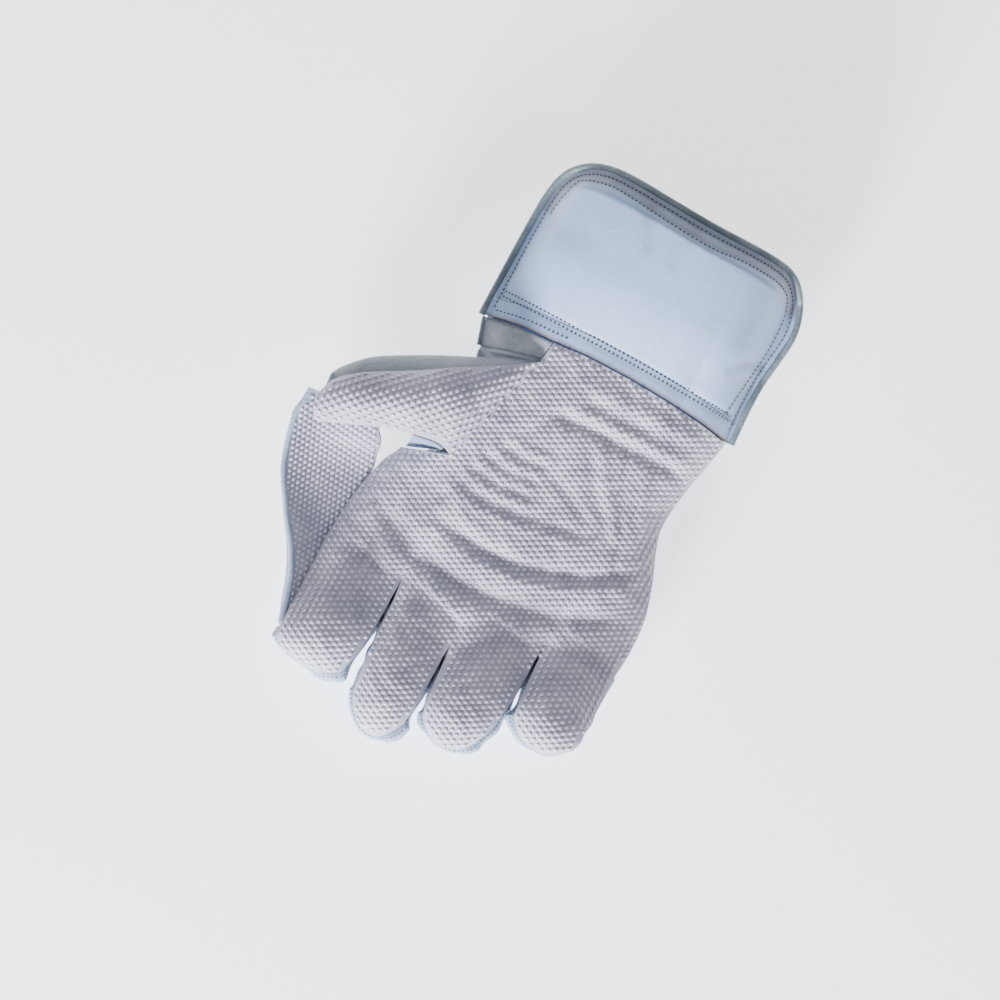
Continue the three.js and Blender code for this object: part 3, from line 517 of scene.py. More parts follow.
@dataclass(frozen=True)
class Finish:
    """A surface finish. Sizes are in millimetres, colours are screen values."""

    name: str
    light: tuple[float, float, float]
    dark: tuple[float, float, float]
    # The seam colour is the dark tone for seam lines and for painted shade
    seam: tuple[float, float, float]
    roughness: float
    grain: float
    grain_depth: float
    crease: float
    crease_depth: float
    blotch: float = 30.0
    sheen: float = 0.0
    specular: float = 0.5
    # Painted shade on the flanks of domes: a colour multiplied in below their tips, which stay lit
    flank_shade: Optional[tuple[float, float, float]] = None

    # The blotches of the painted shade, the spread of roughness and the width of creases
    SHADE_BLOTCHING = 0.2
    ROUGHNESS_SPREAD = 0.16
    FOLD_WIDTH = 0.12

    @cache
    def material(self) -> bpy.types.Material:
        """Builds the finish once.

        Returns:
            A material with blotches of colour, grain, creases, dark seams and painted shade.
        """
        made = bpy.data.materials.new(self.name)
        made.use_nodes = True
        wiring = Wiring(made.node_tree)
        shader = made.node_tree.nodes["Principled BSDF"]
        place = wiring.node("ShaderNodeTexCoord").outputs["Object"]
        blotch = wiring.node("ShaderNodeTexNoise", {
            "Vector": place, "Scale": 1000 / self.blotch, "Detail": 4.0, "Roughness": 0.55,
        }).outputs["Fac"]
        tone = wiring.blend(wiring.ramp(blotch, 0.3, 0.7), paint(*self.light), paint(*self.dark))
        # Painted shade and highlight: the dome's flanks are darkened by the flank colour, its tip
        # keeps the full colour
        if self.flank_shade:
            low = wiring.blend(1.0, tone, paint(*self.flank_shade), "MULTIPLY")
            tone = wiring.blend(wiring.ramp(wiring.stored("tip"), 0.45, 1.0), low, tone)
        # Painted shade: the stored shade darkens folds, finger roots and cuff borders, with blotches,
        # and also draws dark seam lines
        shade = wiring.stored("shade")
        blotched_shade = wiring.math("MULTIPLY", shade, wiring.ramp(blotch, 0.1, 0.8))
        seams_and_shade = wiring.math("ADD", shade, wiring.math("MULTIPLY", blotched_shade, self.SHADE_BLOTCHING))
        tone = wiring.blend(seams_and_shade, tone, paint(*self.seam))
        smoothest = self.roughness - self.ROUGHNESS_SPREAD / 2
        rough = wiring.math("MULTIPLY_ADD", blotch, self.ROUGHNESS_SPREAD, smoothest)
        cells = wiring.node("ShaderNodeTexVoronoi", {
            "Vector": place, "Scale": 1000 / self.grain, "Randomness": 1.0,
        }, feature="SMOOTH_F1").outputs["Distance"]
        wrinkle = wiring.node("ShaderNodeTexNoise", {
            "Vector": place, "Scale": 1000 / self.crease, "Detail": 5.0, "Distortion": 1.2,
        }).outputs["Fac"]
        folded = wiring.math("ABSOLUTE", wiring.math("SUBTRACT", wrinkle, 0.5))
        fine = wiring.bump(cells, self.grain_depth)
        coarse = wiring.bump(wiring.ramp(folded, 0.0, self.FOLD_WIDTH), self.crease_depth, Normal=fine)
        for socket, name in ((tone, "Base Color"), (rough, "Roughness"), (coarse, "Normal")):
            wiring.tree.links.new(socket, shader.inputs[name])
        shader.inputs["Specular IOR Level"].default_value = self.specular
        shader.inputs["Sheen Weight"].default_value = self.sheen
        shader.inputs["Sheen Roughness"].default_value = 0.5
        return made


# The ground and the pimples are one rubber, the ground painted darker than the pimples as dirt and the
# painted shade in the gaps between them
RUBBER = Finish("rubber_ground", (196, 194, 208), (174, 172, 187), (112, 110, 121),
                roughness=0.6, grain=0.5, grain_depth=0.03, crease=26.0, crease_depth=0.08,
                blotch=22.0, specular=0.35)
PIMPLE = Finish("rubber_pimples", (250, 246, 255), (212, 209, 226), (156, 152, 166),
                roughness=0.42, grain=0.4, grain_depth=0.01, crease=30.0, crease_depth=0.0,
                blotch=22.0, specular=0.5, flank_shade=(208, 207, 214))
PALE = Finish("pale_hide", (180, 202, 240), (168, 191, 233), (118, 104, 90),
              roughness=0.48, grain=0.7, grain_depth=0.035, crease=16.0, crease_depth=0.045,
              blotch=45.0, sheen=0.1, specular=0.35)
FINGER = Finish("finger_leather", (172, 188, 212), (146, 162, 188), (62, 68, 80),
                roughness=0.42, grain=0.7, grain_depth=0.04, crease=9.0, crease_depth=0.14,
                blotch=20.0, sheen=0.1)
# The thumb's back is the pale leather, painted greyer and darker as the shade that it lies in
SHADED_THUMB = Finish("thumb_leather_in_shade", (158, 165, 176), (138, 146, 158), (70, 76, 84),
               roughness=0.45, grain=0.7, grain_depth=0.04, crease=12.0, crease_depth=0.16,
               blotch=24.0, sheen=0.1)
SUEDE = Finish("grey_suede", (182, 187, 196), (154, 160, 170), (78, 84, 92),
               roughness=0.78, grain=0.35, grain_depth=0.04, crease=7.0, crease_depth=0.15,
               blotch=9.0, sheen=0.35, specular=0.25)
CORD = Finish("grey_piping", (134, 148, 156), (104, 119, 128), (64, 74, 82),
              roughness=0.4, grain=0.6, grain_depth=0.04, crease=5.0, crease_depth=0.16,
              blotch=14.0)
THREAD = Finish("grey_thread", (72, 84, 96), (56, 67, 78), (34, 40, 48),
                roughness=0.7, grain=0.3, grain_depth=0.04, crease=4.0, crease_depth=0.02,
                blotch=6.0)


# Pieces


def dress(made: bpy.types.Object, finish: Finish, crease: float = 50.0) -> None:
    """Gives a mesh its finish, and smooth faces that break at sharp edges.

    Args:
        made: The object with the mesh.
        finish: Its look.
        crease: The least angle of a sharp edge, in degrees.
    """
    made.data.materials.clear()
    made.data.materials.append(finish.material())
    made.data.shade_smooth()
    made.data.set_sharp_from_angle(angle=math.radians(crease))


def hand_in(made: bpy.types.Object, slot: Slot, nodes: Iterable[str] = ()) -> bpy.types.Object:
    """Puts a finished piece on the frame, in place of its solids.

    Args:
        made: The piece.
        slot: Its material slot. Not used.
        nodes: The solids that it stands for.

    Returns:
        The piece.
    """
    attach(made, "root")
    if nodes:
        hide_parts(*nodes)
    triangles = sum(len(polygon.vertices) - 2 for polygon in made.data.polygons)
    LOG.info("%s: %d triangles", made.name, triangles)
    return made


def skin(name: str, sheet: Sheet, wall: Array, finish: Finish, slot: Slot,
         node: str) -> bpy.types.Object:
    """Makes a sheet into a closed body and hands it in.

    Args:
        name: The piece's name.
        sheet: Its outer side.
        wall: The thickness, or one for each point.
        finish: Its look.
        slot: Its material slot.
        node: The solid that it stands for.

    Returns:
        The piece.
    """
    points, faces, shade = sheet.solid(wall)
    made = make_mesh(name, points, faces)
    store(made, "shade", shade)
    dress(made, finish)
    return hand_in(made, slot, [node])


def cord(name: str, path: Array, radius: float, finish: Finish, nodes: Iterable[str] = (),
         sides: int = 12) -> None:
    """Makes a round closed cord along a path and hands it in.

    Args:
        name: The piece's name.
        path: Points in the middle of the cord.
        radius: Half its thickness.
        finish: Its look.
        nodes: The solids that it stands for.
        sides: Corners round the cord.
    """
    run = unit(np.gradient(path, axis=0))
    aside = unit(np.cross(run, [0.0, 0.0, 1.0]))
    above = np.cross(aside, run)
    turns = np.arange(sides) * 2 * math.pi / sides
    rings = [mid + radius * (np.outer(np.cos(turns), a) + np.outer(np.sin(turns), b))
             for mid, a, b in zip(path, aside, above)]
    faces = []
    for ring in range(len(path) - 1):
        for k in range(sides):
            low = ring * sides + k
            side = ring * sides + (k + 1) % sides
            faces.append((low, side, side + sides, low + sides))
    last = (len(path) - 1) * sides
    faces.append(tuple(reversed(range(sides))))
    faces.append(tuple(range(last, last + sides)))
    made = make_mesh(name, np.concatenate(rings), faces)
    dress(made, finish)
    hand_in(made, Slot.TRIM, nodes)


# Shapes of the hand


WRIST_LINES = {
    "radial": (-0.85, 0.004), "thumb": (-0.481, 0.029), "middle": (-0.31, 0.036),
    "ring": (-0.057, 0.032), "little": (0.226, 0.016), "ulnar": (0.519, -0.014),
}
LINE_BOWS = Table("u radial backRadial thumb ring little ulnar", [
    [0.0, 0.0, 0.0, 0.0, 0.0, 0.0, 0.0],
    [0.1, 0.0, 0.075, 0.011, 0.005, -0.008, -0.03],
    [0.25, 0.0, 0.15, -0.004, 0.012, -0.02, -0.078],
    [0.4, 0.0, 0.17, -0.018, 0.016, -0.027, -0.104],
    [0.5, 0.024, 0.11, -0.028, 0.016, -0.028, -0.075],
    [0.6, -0.002, 0.02, -0.055, 0.016, -0.027, -0.029],
    [0.75, -0.019, -0.019, -0.054, 0.012, -0.02, 0.017],
    [0.9, -0.012, -0.012, -0.03, 0.005, -0.008, 0.018],
    [1.0, 0.0, 0.0, 0.0, 0.0, 0.0, 0.0],
])
LINE_DROPS = Table("u radial thumb", [
    [0.0, 0.0, 0.0], [0.1, -0.03, 0.0], [0.25, -0.045, -0.01], [0.4, -0.06, -0.022],
    [0.5, -0.068, -0.027], [0.6, -0.036, -0.018], [0.75, -0.02, -0.008], [1.0, 0.0, 0.0],
])
LINE_HEIGHTS = Table("u radial thumb middle ring little ulnar", [
    [0.0, 0.62, 0.96, 1.0, 0.98, 0.86, 0.56],
    [0.1, 0.62, 0.97, 1.0, 0.97, 0.85, 0.53],
    [0.25, 0.62, 0.97, 0.97, 0.93, 0.82, 0.5],
    [0.4, 0.63, 0.96, 0.93, 0.88, 0.79, 0.48],
    [0.5, 0.64, 0.9, 0.9, 0.86, 0.78, 0.48],
    [0.6, 0.58, 0.85, 0.88, 0.85, 0.78, 0.49],
    [0.75, 0.54, 0.81, 0.85, 0.84, 0.79, 0.52],
    [0.9, 0.55, 0.79, 0.78, 0.82, 0.75, 0.56],
    [1.0, 0.59, 0.79, 0.71, 0.8, 0.68, 0.6],
])
COLUMN_CROWNS = Table("u outer inner middle ring little", [
    [0.0, 0.0, 0.0, 0.02, 0.04, 0.06],
    [0.5, 0.04, 0.0, 0.0, 0.01, 0.07],
    [0.75, 0.06, 0.02, 0.02, 0.02, 0.08],
    [0.9, 0.09, 0.06, 0.08, 0.06, 0.1],
    [1.0, 0.11, 0.09, 0.15, 0.13, 0.14],
])
FINGER_COURSE = Table("u inset round rise crown back", [
    [0.0, 0.0, 0.0, 0.0, 0.2, 0.0],
    [0.25, 0.04, 0.02, 0.2, 0.27, 0.04],
    [0.5, 0.15, 0.08, 0.52, 0.3, 0.22],
    [0.7, 0.32, 0.22, 0.8, 0.29, 0.5],
    [0.85, 0.58, 0.48, 0.97, 0.24, 0.76],
    [0.95, 0.85, 0.82, 1.02, 0.13, 0.93],
    [1.0, 1.0, 1.0, 1.0, 0.02, 1.0],
])

# Folds across the rubber: ends as shares of the palm's width and length, the sag between them,
# half width and depth. A rib has a depth below nought.
FOLDS = [
    [-0.24, 0.115, 0.21, 0.115, 0.0, 0.03, 0.5],
    [-0.33, 0.06, 0.45, 0.06, 0.0, 0.03, -0.4],
    [-0.33, 0.205, 0.4, 0.205, 0.0, 0.035, 0.6],
    [-0.68, 0.74, 0.4, 0.62, 0.11, 0.04, 0.8],
    [-0.6, 0.66, 0.2, 0.58, 0.09, 0.05, -0.4],
    [-0.92, 0.8, 0.47, 0.785, 0.15, 0.05, 1.0],
]

# Creases of the fingers, steep to the palm and gentle to the tip: ends in the plan and depth
FINGER_CREASES = [
    (-104, -136, -65, -151, 1.4), (-99, -158, -68, -163, 0.8),
    (-64, -143, -25, -153, 2.0), (-60, -162, -28, -167, 0.9),
    (-24, -141, 19, -149, 1.4), (-21, -156, 16, -160, 0.8),
    (18, -130, 55, -141, 1.5), (22, -148, 52, -152, 0.8),
]

# Smaller relief of the rubber: half width and height of a ridge in millimetres, and its line
RIDGES = [
    (3.0, -0.9, [(-34, -31), (-45, -52), (-57, -74), (-72, -100)]),
    (2.6, -0.8, [(10, -31), (17, -50), (25, -70), (32, -90)]),
    (2.6, -0.7, [(-34, -31), (-12, -29), (10, -31)]),
    (3.0, 0.9, [(-49, -51), (-39, -53), (-28, -52)]),
    (3.0, 0.9, [(-54, -60), (-42, -63), (-27, -62)]),
    (3.0, 0.9, [(-58, -69), (-44, -72), (-27, -70)]),
    (3.0, 0.9, [(-62, -78), (-46, -81), (-28, -79)]),
    (3.0, 0.8, [(-66, -88), (-48, -92), (-24, -91), (6, -86)]),
    (3.2, -0.7, [(-50, -56), (-40, -58), (-27, -57)]),
    (3.2, -0.7, [(-57, -65), (-43, -67), (-27, -66)]),
    (3.2, -0.7, [(-60, -74), (-45, -76), (-27, -75)]),
    (3.2, -0.7, [(-63, -83), (-47, -87), (-26, -85), (0, -81)]),
    (2.8, -0.8, [(-8, -40), (0, -52), (10, -64), (20, -76)]),
    (2.8, 0.8, [(-2, -38), (7, -50), (16, -62), (26, -74)]),
    (2.8, -0.7, [(-18, -60), (-6, -67), (6, -72)]),
    (2.8, 0.7, [(24, -40), (30, -52), (36, -66)]),
    (3.0, 0.9, [(-62, -112), (-40, -117), (-12, -117), (18, -108), (40, -97)]),
    (2.8, -0.8, [(-50, -109), (-25, -110), (5, -104), (25, -96), (42, -87)]),
    (3.4, -1.0, [(-97, -112), (-84, -122), (-68, -130), (-45, -132), (-20, -131)]),
    (3.4, -1.0, [(-20, -131), (5, -128), (30, -119), (48, -112)]),
    (3.6, 0.8, [(-77, -38), (-80, -54), (-77, -70)]),
    (3.0, 0.8, [(-30, -22), (-5, -22), (20, -22), (42, -22)]),
    (3.0, -0.8, [(-35, -28.5), (-5, -28), (20, -28), (40, -29)]),
]

THUMB_RIDGES = [
    (3.0, -1.0, [(-54, -22), (-57, -44), (-60, -66)]),
    (3.4, -1.0, [(-84, -33), (-76, -40), (-68, -46)]),
    (4.0, 0.9, [(-75, -40), (-79, -56), (-77, -68)]),
    (3.6, -0.9, [(-101, -47), (-96, -52), (-92, -60)]),
]
CUFF_RIDGES = [
    (3.2, -0.7, [(53, 44), (44, 40), (38, 33)]), (4.4, -0.5, [(-36, 86), (-31, 78), (-29, 70)]),
    (5.0, -0.4, [(-12, 84), (-16, 76), (-14, 68)]), (7.0, -0.35, [(-84, 62), (-72, 58), (-60, 60)]),
    (6.0, -0.35, [(48, 30), (38, 24), (26, 22)]), (5.0, -0.3, [(-52, 17), (-46, 8), (-36, 5)]),
]

THUMB_COURSE = Table("u topAlong topSide topRise lowAlong lowSide lowRise crown depth swell", [
    [0.0, -0.218, 0.642, 0.8, 0.245, -0.668, 0.74, 0.0, 1.3, 0.3],
    [0.2, -0.018, 0.589, 0.84, 0.303, -0.513, 0.86, 0.24, 1.3, 0.6],
    [0.4, 0.22, 0.553, 0.89, 0.4, -0.42, 0.91, 0.33, 1.15, 0.85],
    [0.6, 0.461, 0.489, 0.94, 0.56, -0.325, 0.95, 0.34, 1.0, 1.0],
    [0.8, 0.698, 0.453, 0.99, 0.79, -0.27, 0.99, 0.3, 0.9, 0.95],
    [0.93, 0.84, 0.39, 1.01, 0.925, -0.245, 1.01, 0.17, 0.7, 0.7],
    [1.0, 0.895, 0.337, 1.0, 0.98, -0.235, 1.0, 0.04, 0.25, 0.5],
])
WEB_COURSE = Table("u reach outerAlong outerRise foot innerAlong innerRise", [
    [0.0, 1.2, 0.53, 1.0, 0.38, 0.515, 0.22],
    [0.08, 1.205, 0.6, 0.98, 0.31, 0.565, 0.15],
    [0.18, 1.095, 0.67, 0.95, 0.17, 0.62, 0.07],
    [0.3, 0.965, 0.76, 0.92, 0.05, 0.69, 0.0],
    [0.45, 0.81, 0.86, 0.92, 0.0, 0.79, 0.0],
    [0.6, 0.58, 0.97, 0.93, 0.0, 0.92, 0.0],
    [0.75, 0.345, 1.08, 0.96, 0.0, 1.05, 0.0],
    [0.88, 0.16, 1.2, 1.0, 0.0, 1.19, 0.0],
    [1.0, 0.03, 1.37, 1.06, 0.0, 1.37, 0.0],
])

CUFF_LEFT = [[-0.481, 0.02], [-0.476, 0.26], [-0.47, 0.52], [-0.458, 0.78], [-0.432, 0.905]]
CUFF_TOP = [
    [-0.432, 0.905], [-0.378, 0.973], [-0.305, 0.997], [-0.205, 0.988], [-0.07, 0.966],
    [0.115, 0.948], [0.35, 0.955], [0.415, 0.94], [0.458, 0.89],
]
CUFF_RIGHT = [
    [0.48, -0.01], [0.476, 0.2], [0.48, 0.36], [0.495, 0.52], [0.506, 0.68], [0.489, 0.81],
    [0.458, 0.89],
]

# Walls and gaps in millimetres
RUBBER_WALL = 2.4
LEATHER_WALL = 1.8
CUFF_WALL = 3.0
SEAM_GAP = 0.3
WRIST_GAP = 0.9

PIPING_RADIUS = 2.4
CUFF_SIDE_HEIGHT = 31.0
TRAY_HEIGHT = CUFF_SIDE_HEIGHT - PIPING_RADIUS - CUFF_WALL

# Rows of the palm that lie in one row of the solids
ROW_STEP = 5


@dataclass(frozen=True)
class Finger:
    """Sizes of one finger, and its shares for the shape of its tip."""

    name: str
    width: float
    length: float
    inset_left: float
    inset_right: float
    corner_left: float
    corner_right: float


FINGERS = [
    Finger("index", 46.0, 66.0, 0.01, 0.14, 0.89, 0.92),
    Finger("middle", 37.0, 83.0, 0.08, 0.08, 0.8, 0.85),
    Finger("ring", 43.5, 72.0, 0.06, 0.22, 0.85, 0.87),
    Finger("little", 40.5, 52.0, 0.03, 0.09, 0.79, 0.83),
]


@dataclass
class Hand:
    """The shape that rubber and leather share: six lines from the wrist to the finger roots."""

    palm_width: float = 106.0
    palm_length: float = 140.0
    palm_height: float = 52.0
    fold_gain: float = 3.0
    ridge_gain: float = 1.05
    unrest: float = 0.4
    crease_bow: float = 2.0
    crease_steep: float = 1.7
    crease_gentle: float = 10.0
    finger_gap: float = 1.5
    radial_share: float = 0.665
    thumb_share: float = 0.54
    side_fade: float = 4.0
    ulnar_fade: float = 5.0
    ulnar_ease: float = 2.2
    straight_share: float = 0.4
    row_spacing: float = 1.35
    curl_height: float = 50.0
    finger_depth: float = 22.0
    edge_lift: float = 12.0
    side_lift: float = 0.55
    rows: int = 120
    thumb_first_row: int = 10
    crotch_row: int = 60
    finger_rows: int = 60
    columns: dict[str, int] = field(default_factory=lambda: {
        "outer": 22, "inner": 18, "middle": 32, "ring": 36, "little": 34,
    })
    roots: dict[str, tuple[float, float]] = field(init=False)

    def __post_init__(self) -> None:
        """Places the finger roots beside one another."""
        index, middle, ring, little = [finger.width for finger in FINGERS]
        knuckles = index + middle + ring + little + 3 * self.finger_gap
        radial = -self.radial_share * knuckles
        at_middle = radial + index + self.finger_gap / 2
        at_ring = at_middle + middle + self.finger_gap
        at_little = at_ring + ring + self.finger_gap
        self.roots = {
            "radial": (radial, 1.02), "thumb": (radial + self.thumb_share * index, 1.02),
            "middle": (at_middle, 1.02), "ring": (at_ring, 1.16), "little": (at_little, 1.0),
            "ulnar": (at_little + little + self.finger_gap / 2, 1.0),
        }

    def fold(self, x: Array, y: Array) -> Array:
        """Returns how deep the moulded relief lies below the rubber's plain height.

        Args:
            x: The places.
            y: The places.

        Returns:
            A depth for each place.
        """
        depth = np.zeros(np.shape(x))
        for x0, y0, x1, y1, sag, width, deep in FOLDS:
            t = (x / self.palm_width - x0) / (x1 - x0)
            line = mix(y0, y1, t) + sag * 4 * t * (1 - t)
            off = (-y / self.palm_length - line) / width
            ends = smooth(8 * t * (1 - t))
            depth = depth + self.fold_gain * deep * np.exp(-off * off) * ends
        depth = depth - self.ridge_gain * relief(x, y, RIDGES)
        for x0, y0, x1, y1, deep in FINGER_CREASES:
            t = (x - x0) / (x1 - x0)
            off = mix(y0, y1, t) + self.crease_bow * arch(t) - y
            off = off / np.where(off > 0, self.crease_gentle, self.crease_steep)
            ends = smooth(4 * t) * smooth(7 * (1 - t))
            depth = depth + deep * np.exp(-off * off) * ends
        waves = np.sin(x / 3.6 + 1.6 * np.sin(y / 5.2)) * np.sin(y / 3.3 + 1.3 * np.sin(x / 4.6))
        return depth + self.unrest * waves

    def line_point(self, name: str, u: float, back: bool = False) -> Array:
        """Returns the place on one of the six lines at the share u of its run.

        Args:
            name: The line's name.
            u: The share from the wrist to the root.
            back: Whether this is the line of the leather back.

        Returns:
            One point.
        """
        across, along = WRIST_LINES[name]
        root_x, root_along = self.roots[name]
        bow_name = "backRadial" if back and name == "radial" else name
        x = mix(across * self.palm_width, root_x, u) + LINE_BOWS.at(bow_name, u) * self.palm_width
        y = (mix(along, -root_along, u) + LINE_DROPS.at(name, u)) * self.palm_length
        return np.array([x, y, LINE_HEIGHTS.at(name, u) * self.palm_height])

    def column_row(self, column: str, start: str, end: str, u: float, count: int,
                   back: bool = False) -> Array:
        """Returns the points across one column of the palm at row u.

        Args:
            column: The column's name.
            start: The line at its left side.
            end: The line at its right side.
            u: The share from the wrist to the roots.
            count: The number of steps.
            back: Whether this is the leather back.

        Returns:
            The points from left to right.
        """
        a = self.line_point(start, u, back)
        b = self.line_point(end, u, back)
        crown = COLUMN_CROWNS.at(column, u) * self.palm_height
        s = np.linspace(0.0, 1.0, count + 1)
        ease, fade = s, np.ones_like(s)
        if end == "ulnar":
            ease, fade = s ** self.ulnar_ease, smooth(self.ulnar_fade * (1 - s))
        if start == "radial":
            ease, fade = 1 - (1 - s) ** 2, smooth(self.side_fade * s)
        row = a + (b - a) * s[:, None]
        row[:, 2] = mix(a[2], b[2], ease) + crown * arch(s)
        row[:, 2] -= self.fold(row[:, 0], row[:, 1]) * fade
        return row

    def palm_row(self, columns: Sequence[tuple[str, str, str]], counts: dict[str, int], u: float,
                 back: bool = False) -> Array:
        """Returns the points across several columns of the palm at row u.

        Args:
            columns: Each column's name and the lines at its sides.
            counts: The steps of each column.
            u: The share from the wrist to the roots.
            back: Whether this is the leather back.

        Returns:
            The points from left to right.
        """
        parts = [self.column_row(name, a, b, u, counts[name], back) for name, a, b in columns]
        return np.concatenate([parts[0]] + [part[1:] for part in parts[1:]])

    def finger_height(self, finger: Finger, t: float, s: Array, seam: Array, front: bool) -> Array:
        """Returns a finger's height at shares along and across it.

        Args:
            finger: The finger's sizes.
            t: The share of its length.
            s: Shares of its width.
            seam: The height of the root's seams at s.
            front: Whether this is the rubber with its crown, or the back between its sides.

        Returns:
            The heights at s.
        """
        at = FINGER_COURSE.all_at(t)
        if front:
            return mix(seam, self.curl_height, at["rise"]) + at["crown"] * finger.width * arch(s, 2.2)
        middle = at["back"] * (self.curl_height - self.finger_depth)
        return middle + self.side_lift * self.edge_lift * min(1.0, 4 * t) * tray(s, 0.2)

    def finger_grid(self, root: Array, finger: Finger, front: bool) -> Array:
        """Shapes one finger beyond its root row.

        Args:
            root: The last row of the palm, as far as the finger is wide.
            finger: The finger's sizes.
            front: Whether this is the rubber, or the back.

        Returns:
            Rows of points, the root row first.
        """
        left, right = root[0], root[-1]
        centre = (left[0] + right[0]) / 2
        half_root = (right[0] - left[0]) / 2
        end_left = -self.palm_length - finger.length * finger.corner_left
        end_right = -self.palm_length - finger.length * finger.corner_right
        end_rise = -self.palm_length - finger.length - (end_left + end_right) / 2
        s = (root[:, 0] - left[0]) / (right[0] - left[0])

        def place(t: float) -> Array:
            """Returns the finger's own row at the share t of its length."""
            inset = FINGER_COURSE.at("inset", t) * finger.width
            half = mix(half_root, finger.width / 2, min(1.0, 6 * t))
            x_left = centre - half + inset * finger.inset_left
            x_right = centre + half - inset * finger.inset_right
            y = mix(mix(left[1], end_left, t), mix(right[1], end_right, t), s)
            y = y + FINGER_COURSE.at("round", t) * end_rise * arch(s, 2.4)
            z = self.finger_height(finger, t, s, mix(left[2], right[2], s), front)
            return np.stack([mix(x_left, x_right, s), y, z], axis=1)

        fade = smooth(self.side_fade * np.minimum(s, 1 - s)) * front
        slip = root - place(0.0)
        slip[:, 2] += self.fold(root[:, 0], root[:, 1]) * fade
        rows = [root]
        for k in range(1, self.finger_rows + 1):
            t = 1 - (1 - k / self.finger_rows) ** self.row_spacing
            row = place(t) + slip * (1 - smooth(t / self.straight_share))
            row[:, 2] -= self.fold(row[:, 0], row[:, 1]) * fade
            rows.append(row)
        return np.array(rows)

    def finger_grids(self, roots: Array, counts: dict[str, int],
                     front: bool) -> Iterable[tuple[Finger, Array]]:
        """Shapes all fingers.

        Args:
            roots: The last row of the palm.
            counts: The steps of each of its columns.
            front: Whether this is the rubber, or the back.

        Yields:
            Each finger and its rows of points.
        """
        start = 0
        for finger in FINGERS:
            names = ("outer", "inner") if finger.name == "index" else (finger.name,)
            end = start + sum(counts[name] for name in names)
            yield finger, self.finger_grid(roots[start:end + 1], finger, front)
            start = end


def tray(s: Array, level: float = 0.5) -> Array:
    """Returns the height of a tray across its width: 0 in the middle, 1 at both sides."""
    return np.maximum(0.0, (np.abs(2 * np.asarray(s) - 1) - level) / (1 - level)) ** 3


@dataclass
class Thumb:
    """The thumb's place and sizes."""

    length: float = 96.0
    width: float = 38.0
    height: float = 63.0
    depth: float = 24.0
    swell: float = 13.0
    tip_round: float = 0.052
    tip_start: float = 0.6
    root_share: float = 0.35
    row_spacing: float = 1.25
    rows: int = 70
    axis: tuple[float, float] = (-0.905, -0.426)
    root: tuple[float, float] = (-0.585, -0.286)

    def place(self, hand: Hand, along: Array, side: Array, rise: Array) -> Array:
        """Returns the points at shares along the thumb, beside it and up.

        Args:
            hand: The hand's sizes.
            along: The share of the thumb's length.
            side: The share of its width.
            rise: The share of its height.

        Returns:
            The points.
        """
        x = self.root[0] * hand.palm_width + along * self.axis[0] * self.length
        y = self.root[1] * hand.palm_length + along * self.axis[1] * self.length
        x = x + side * self.axis[1] * self.width
        y = y - side * self.axis[0] * self.width
        return np.stack([x, y, rise * self.height], axis=-1)

    def row(self, hand: Hand, u: float, s: Array) -> Array:
        """Returns the rubber's points across the thumb at row u.

        Args:
            hand: The hand's sizes.
            u: The share from the root to the tip.
            s: Shares across.

        Returns:
            One point for each share.
        """
        at = THUMB_COURSE.all_at(u)
        top = self.place(hand, at["topAlong"], at["topSide"], at["topRise"])
        low = self.place(hand, at["lowAlong"], at["lowSide"], at["lowRise"])
        row = top + (low - top) * s[:, None]
        end = self.tip_round * self.length * arch(s)
        end = end * smooth((u - self.tip_start) / (1 - self.tip_start))
        row[:, 0] += self.axis[0] * end
        row[:, 1] += self.axis[1] * end
        row[:, 2] += at["crown"] * self.width * arch(s, 2.2)
        return row

    def stations(self) -> Array:
        """Returns the thumb's rows as shares of its length."""
        return 1 - (1 - np.arange(self.rows + 1) / self.rows) ** self.row_spacing


# The rubber


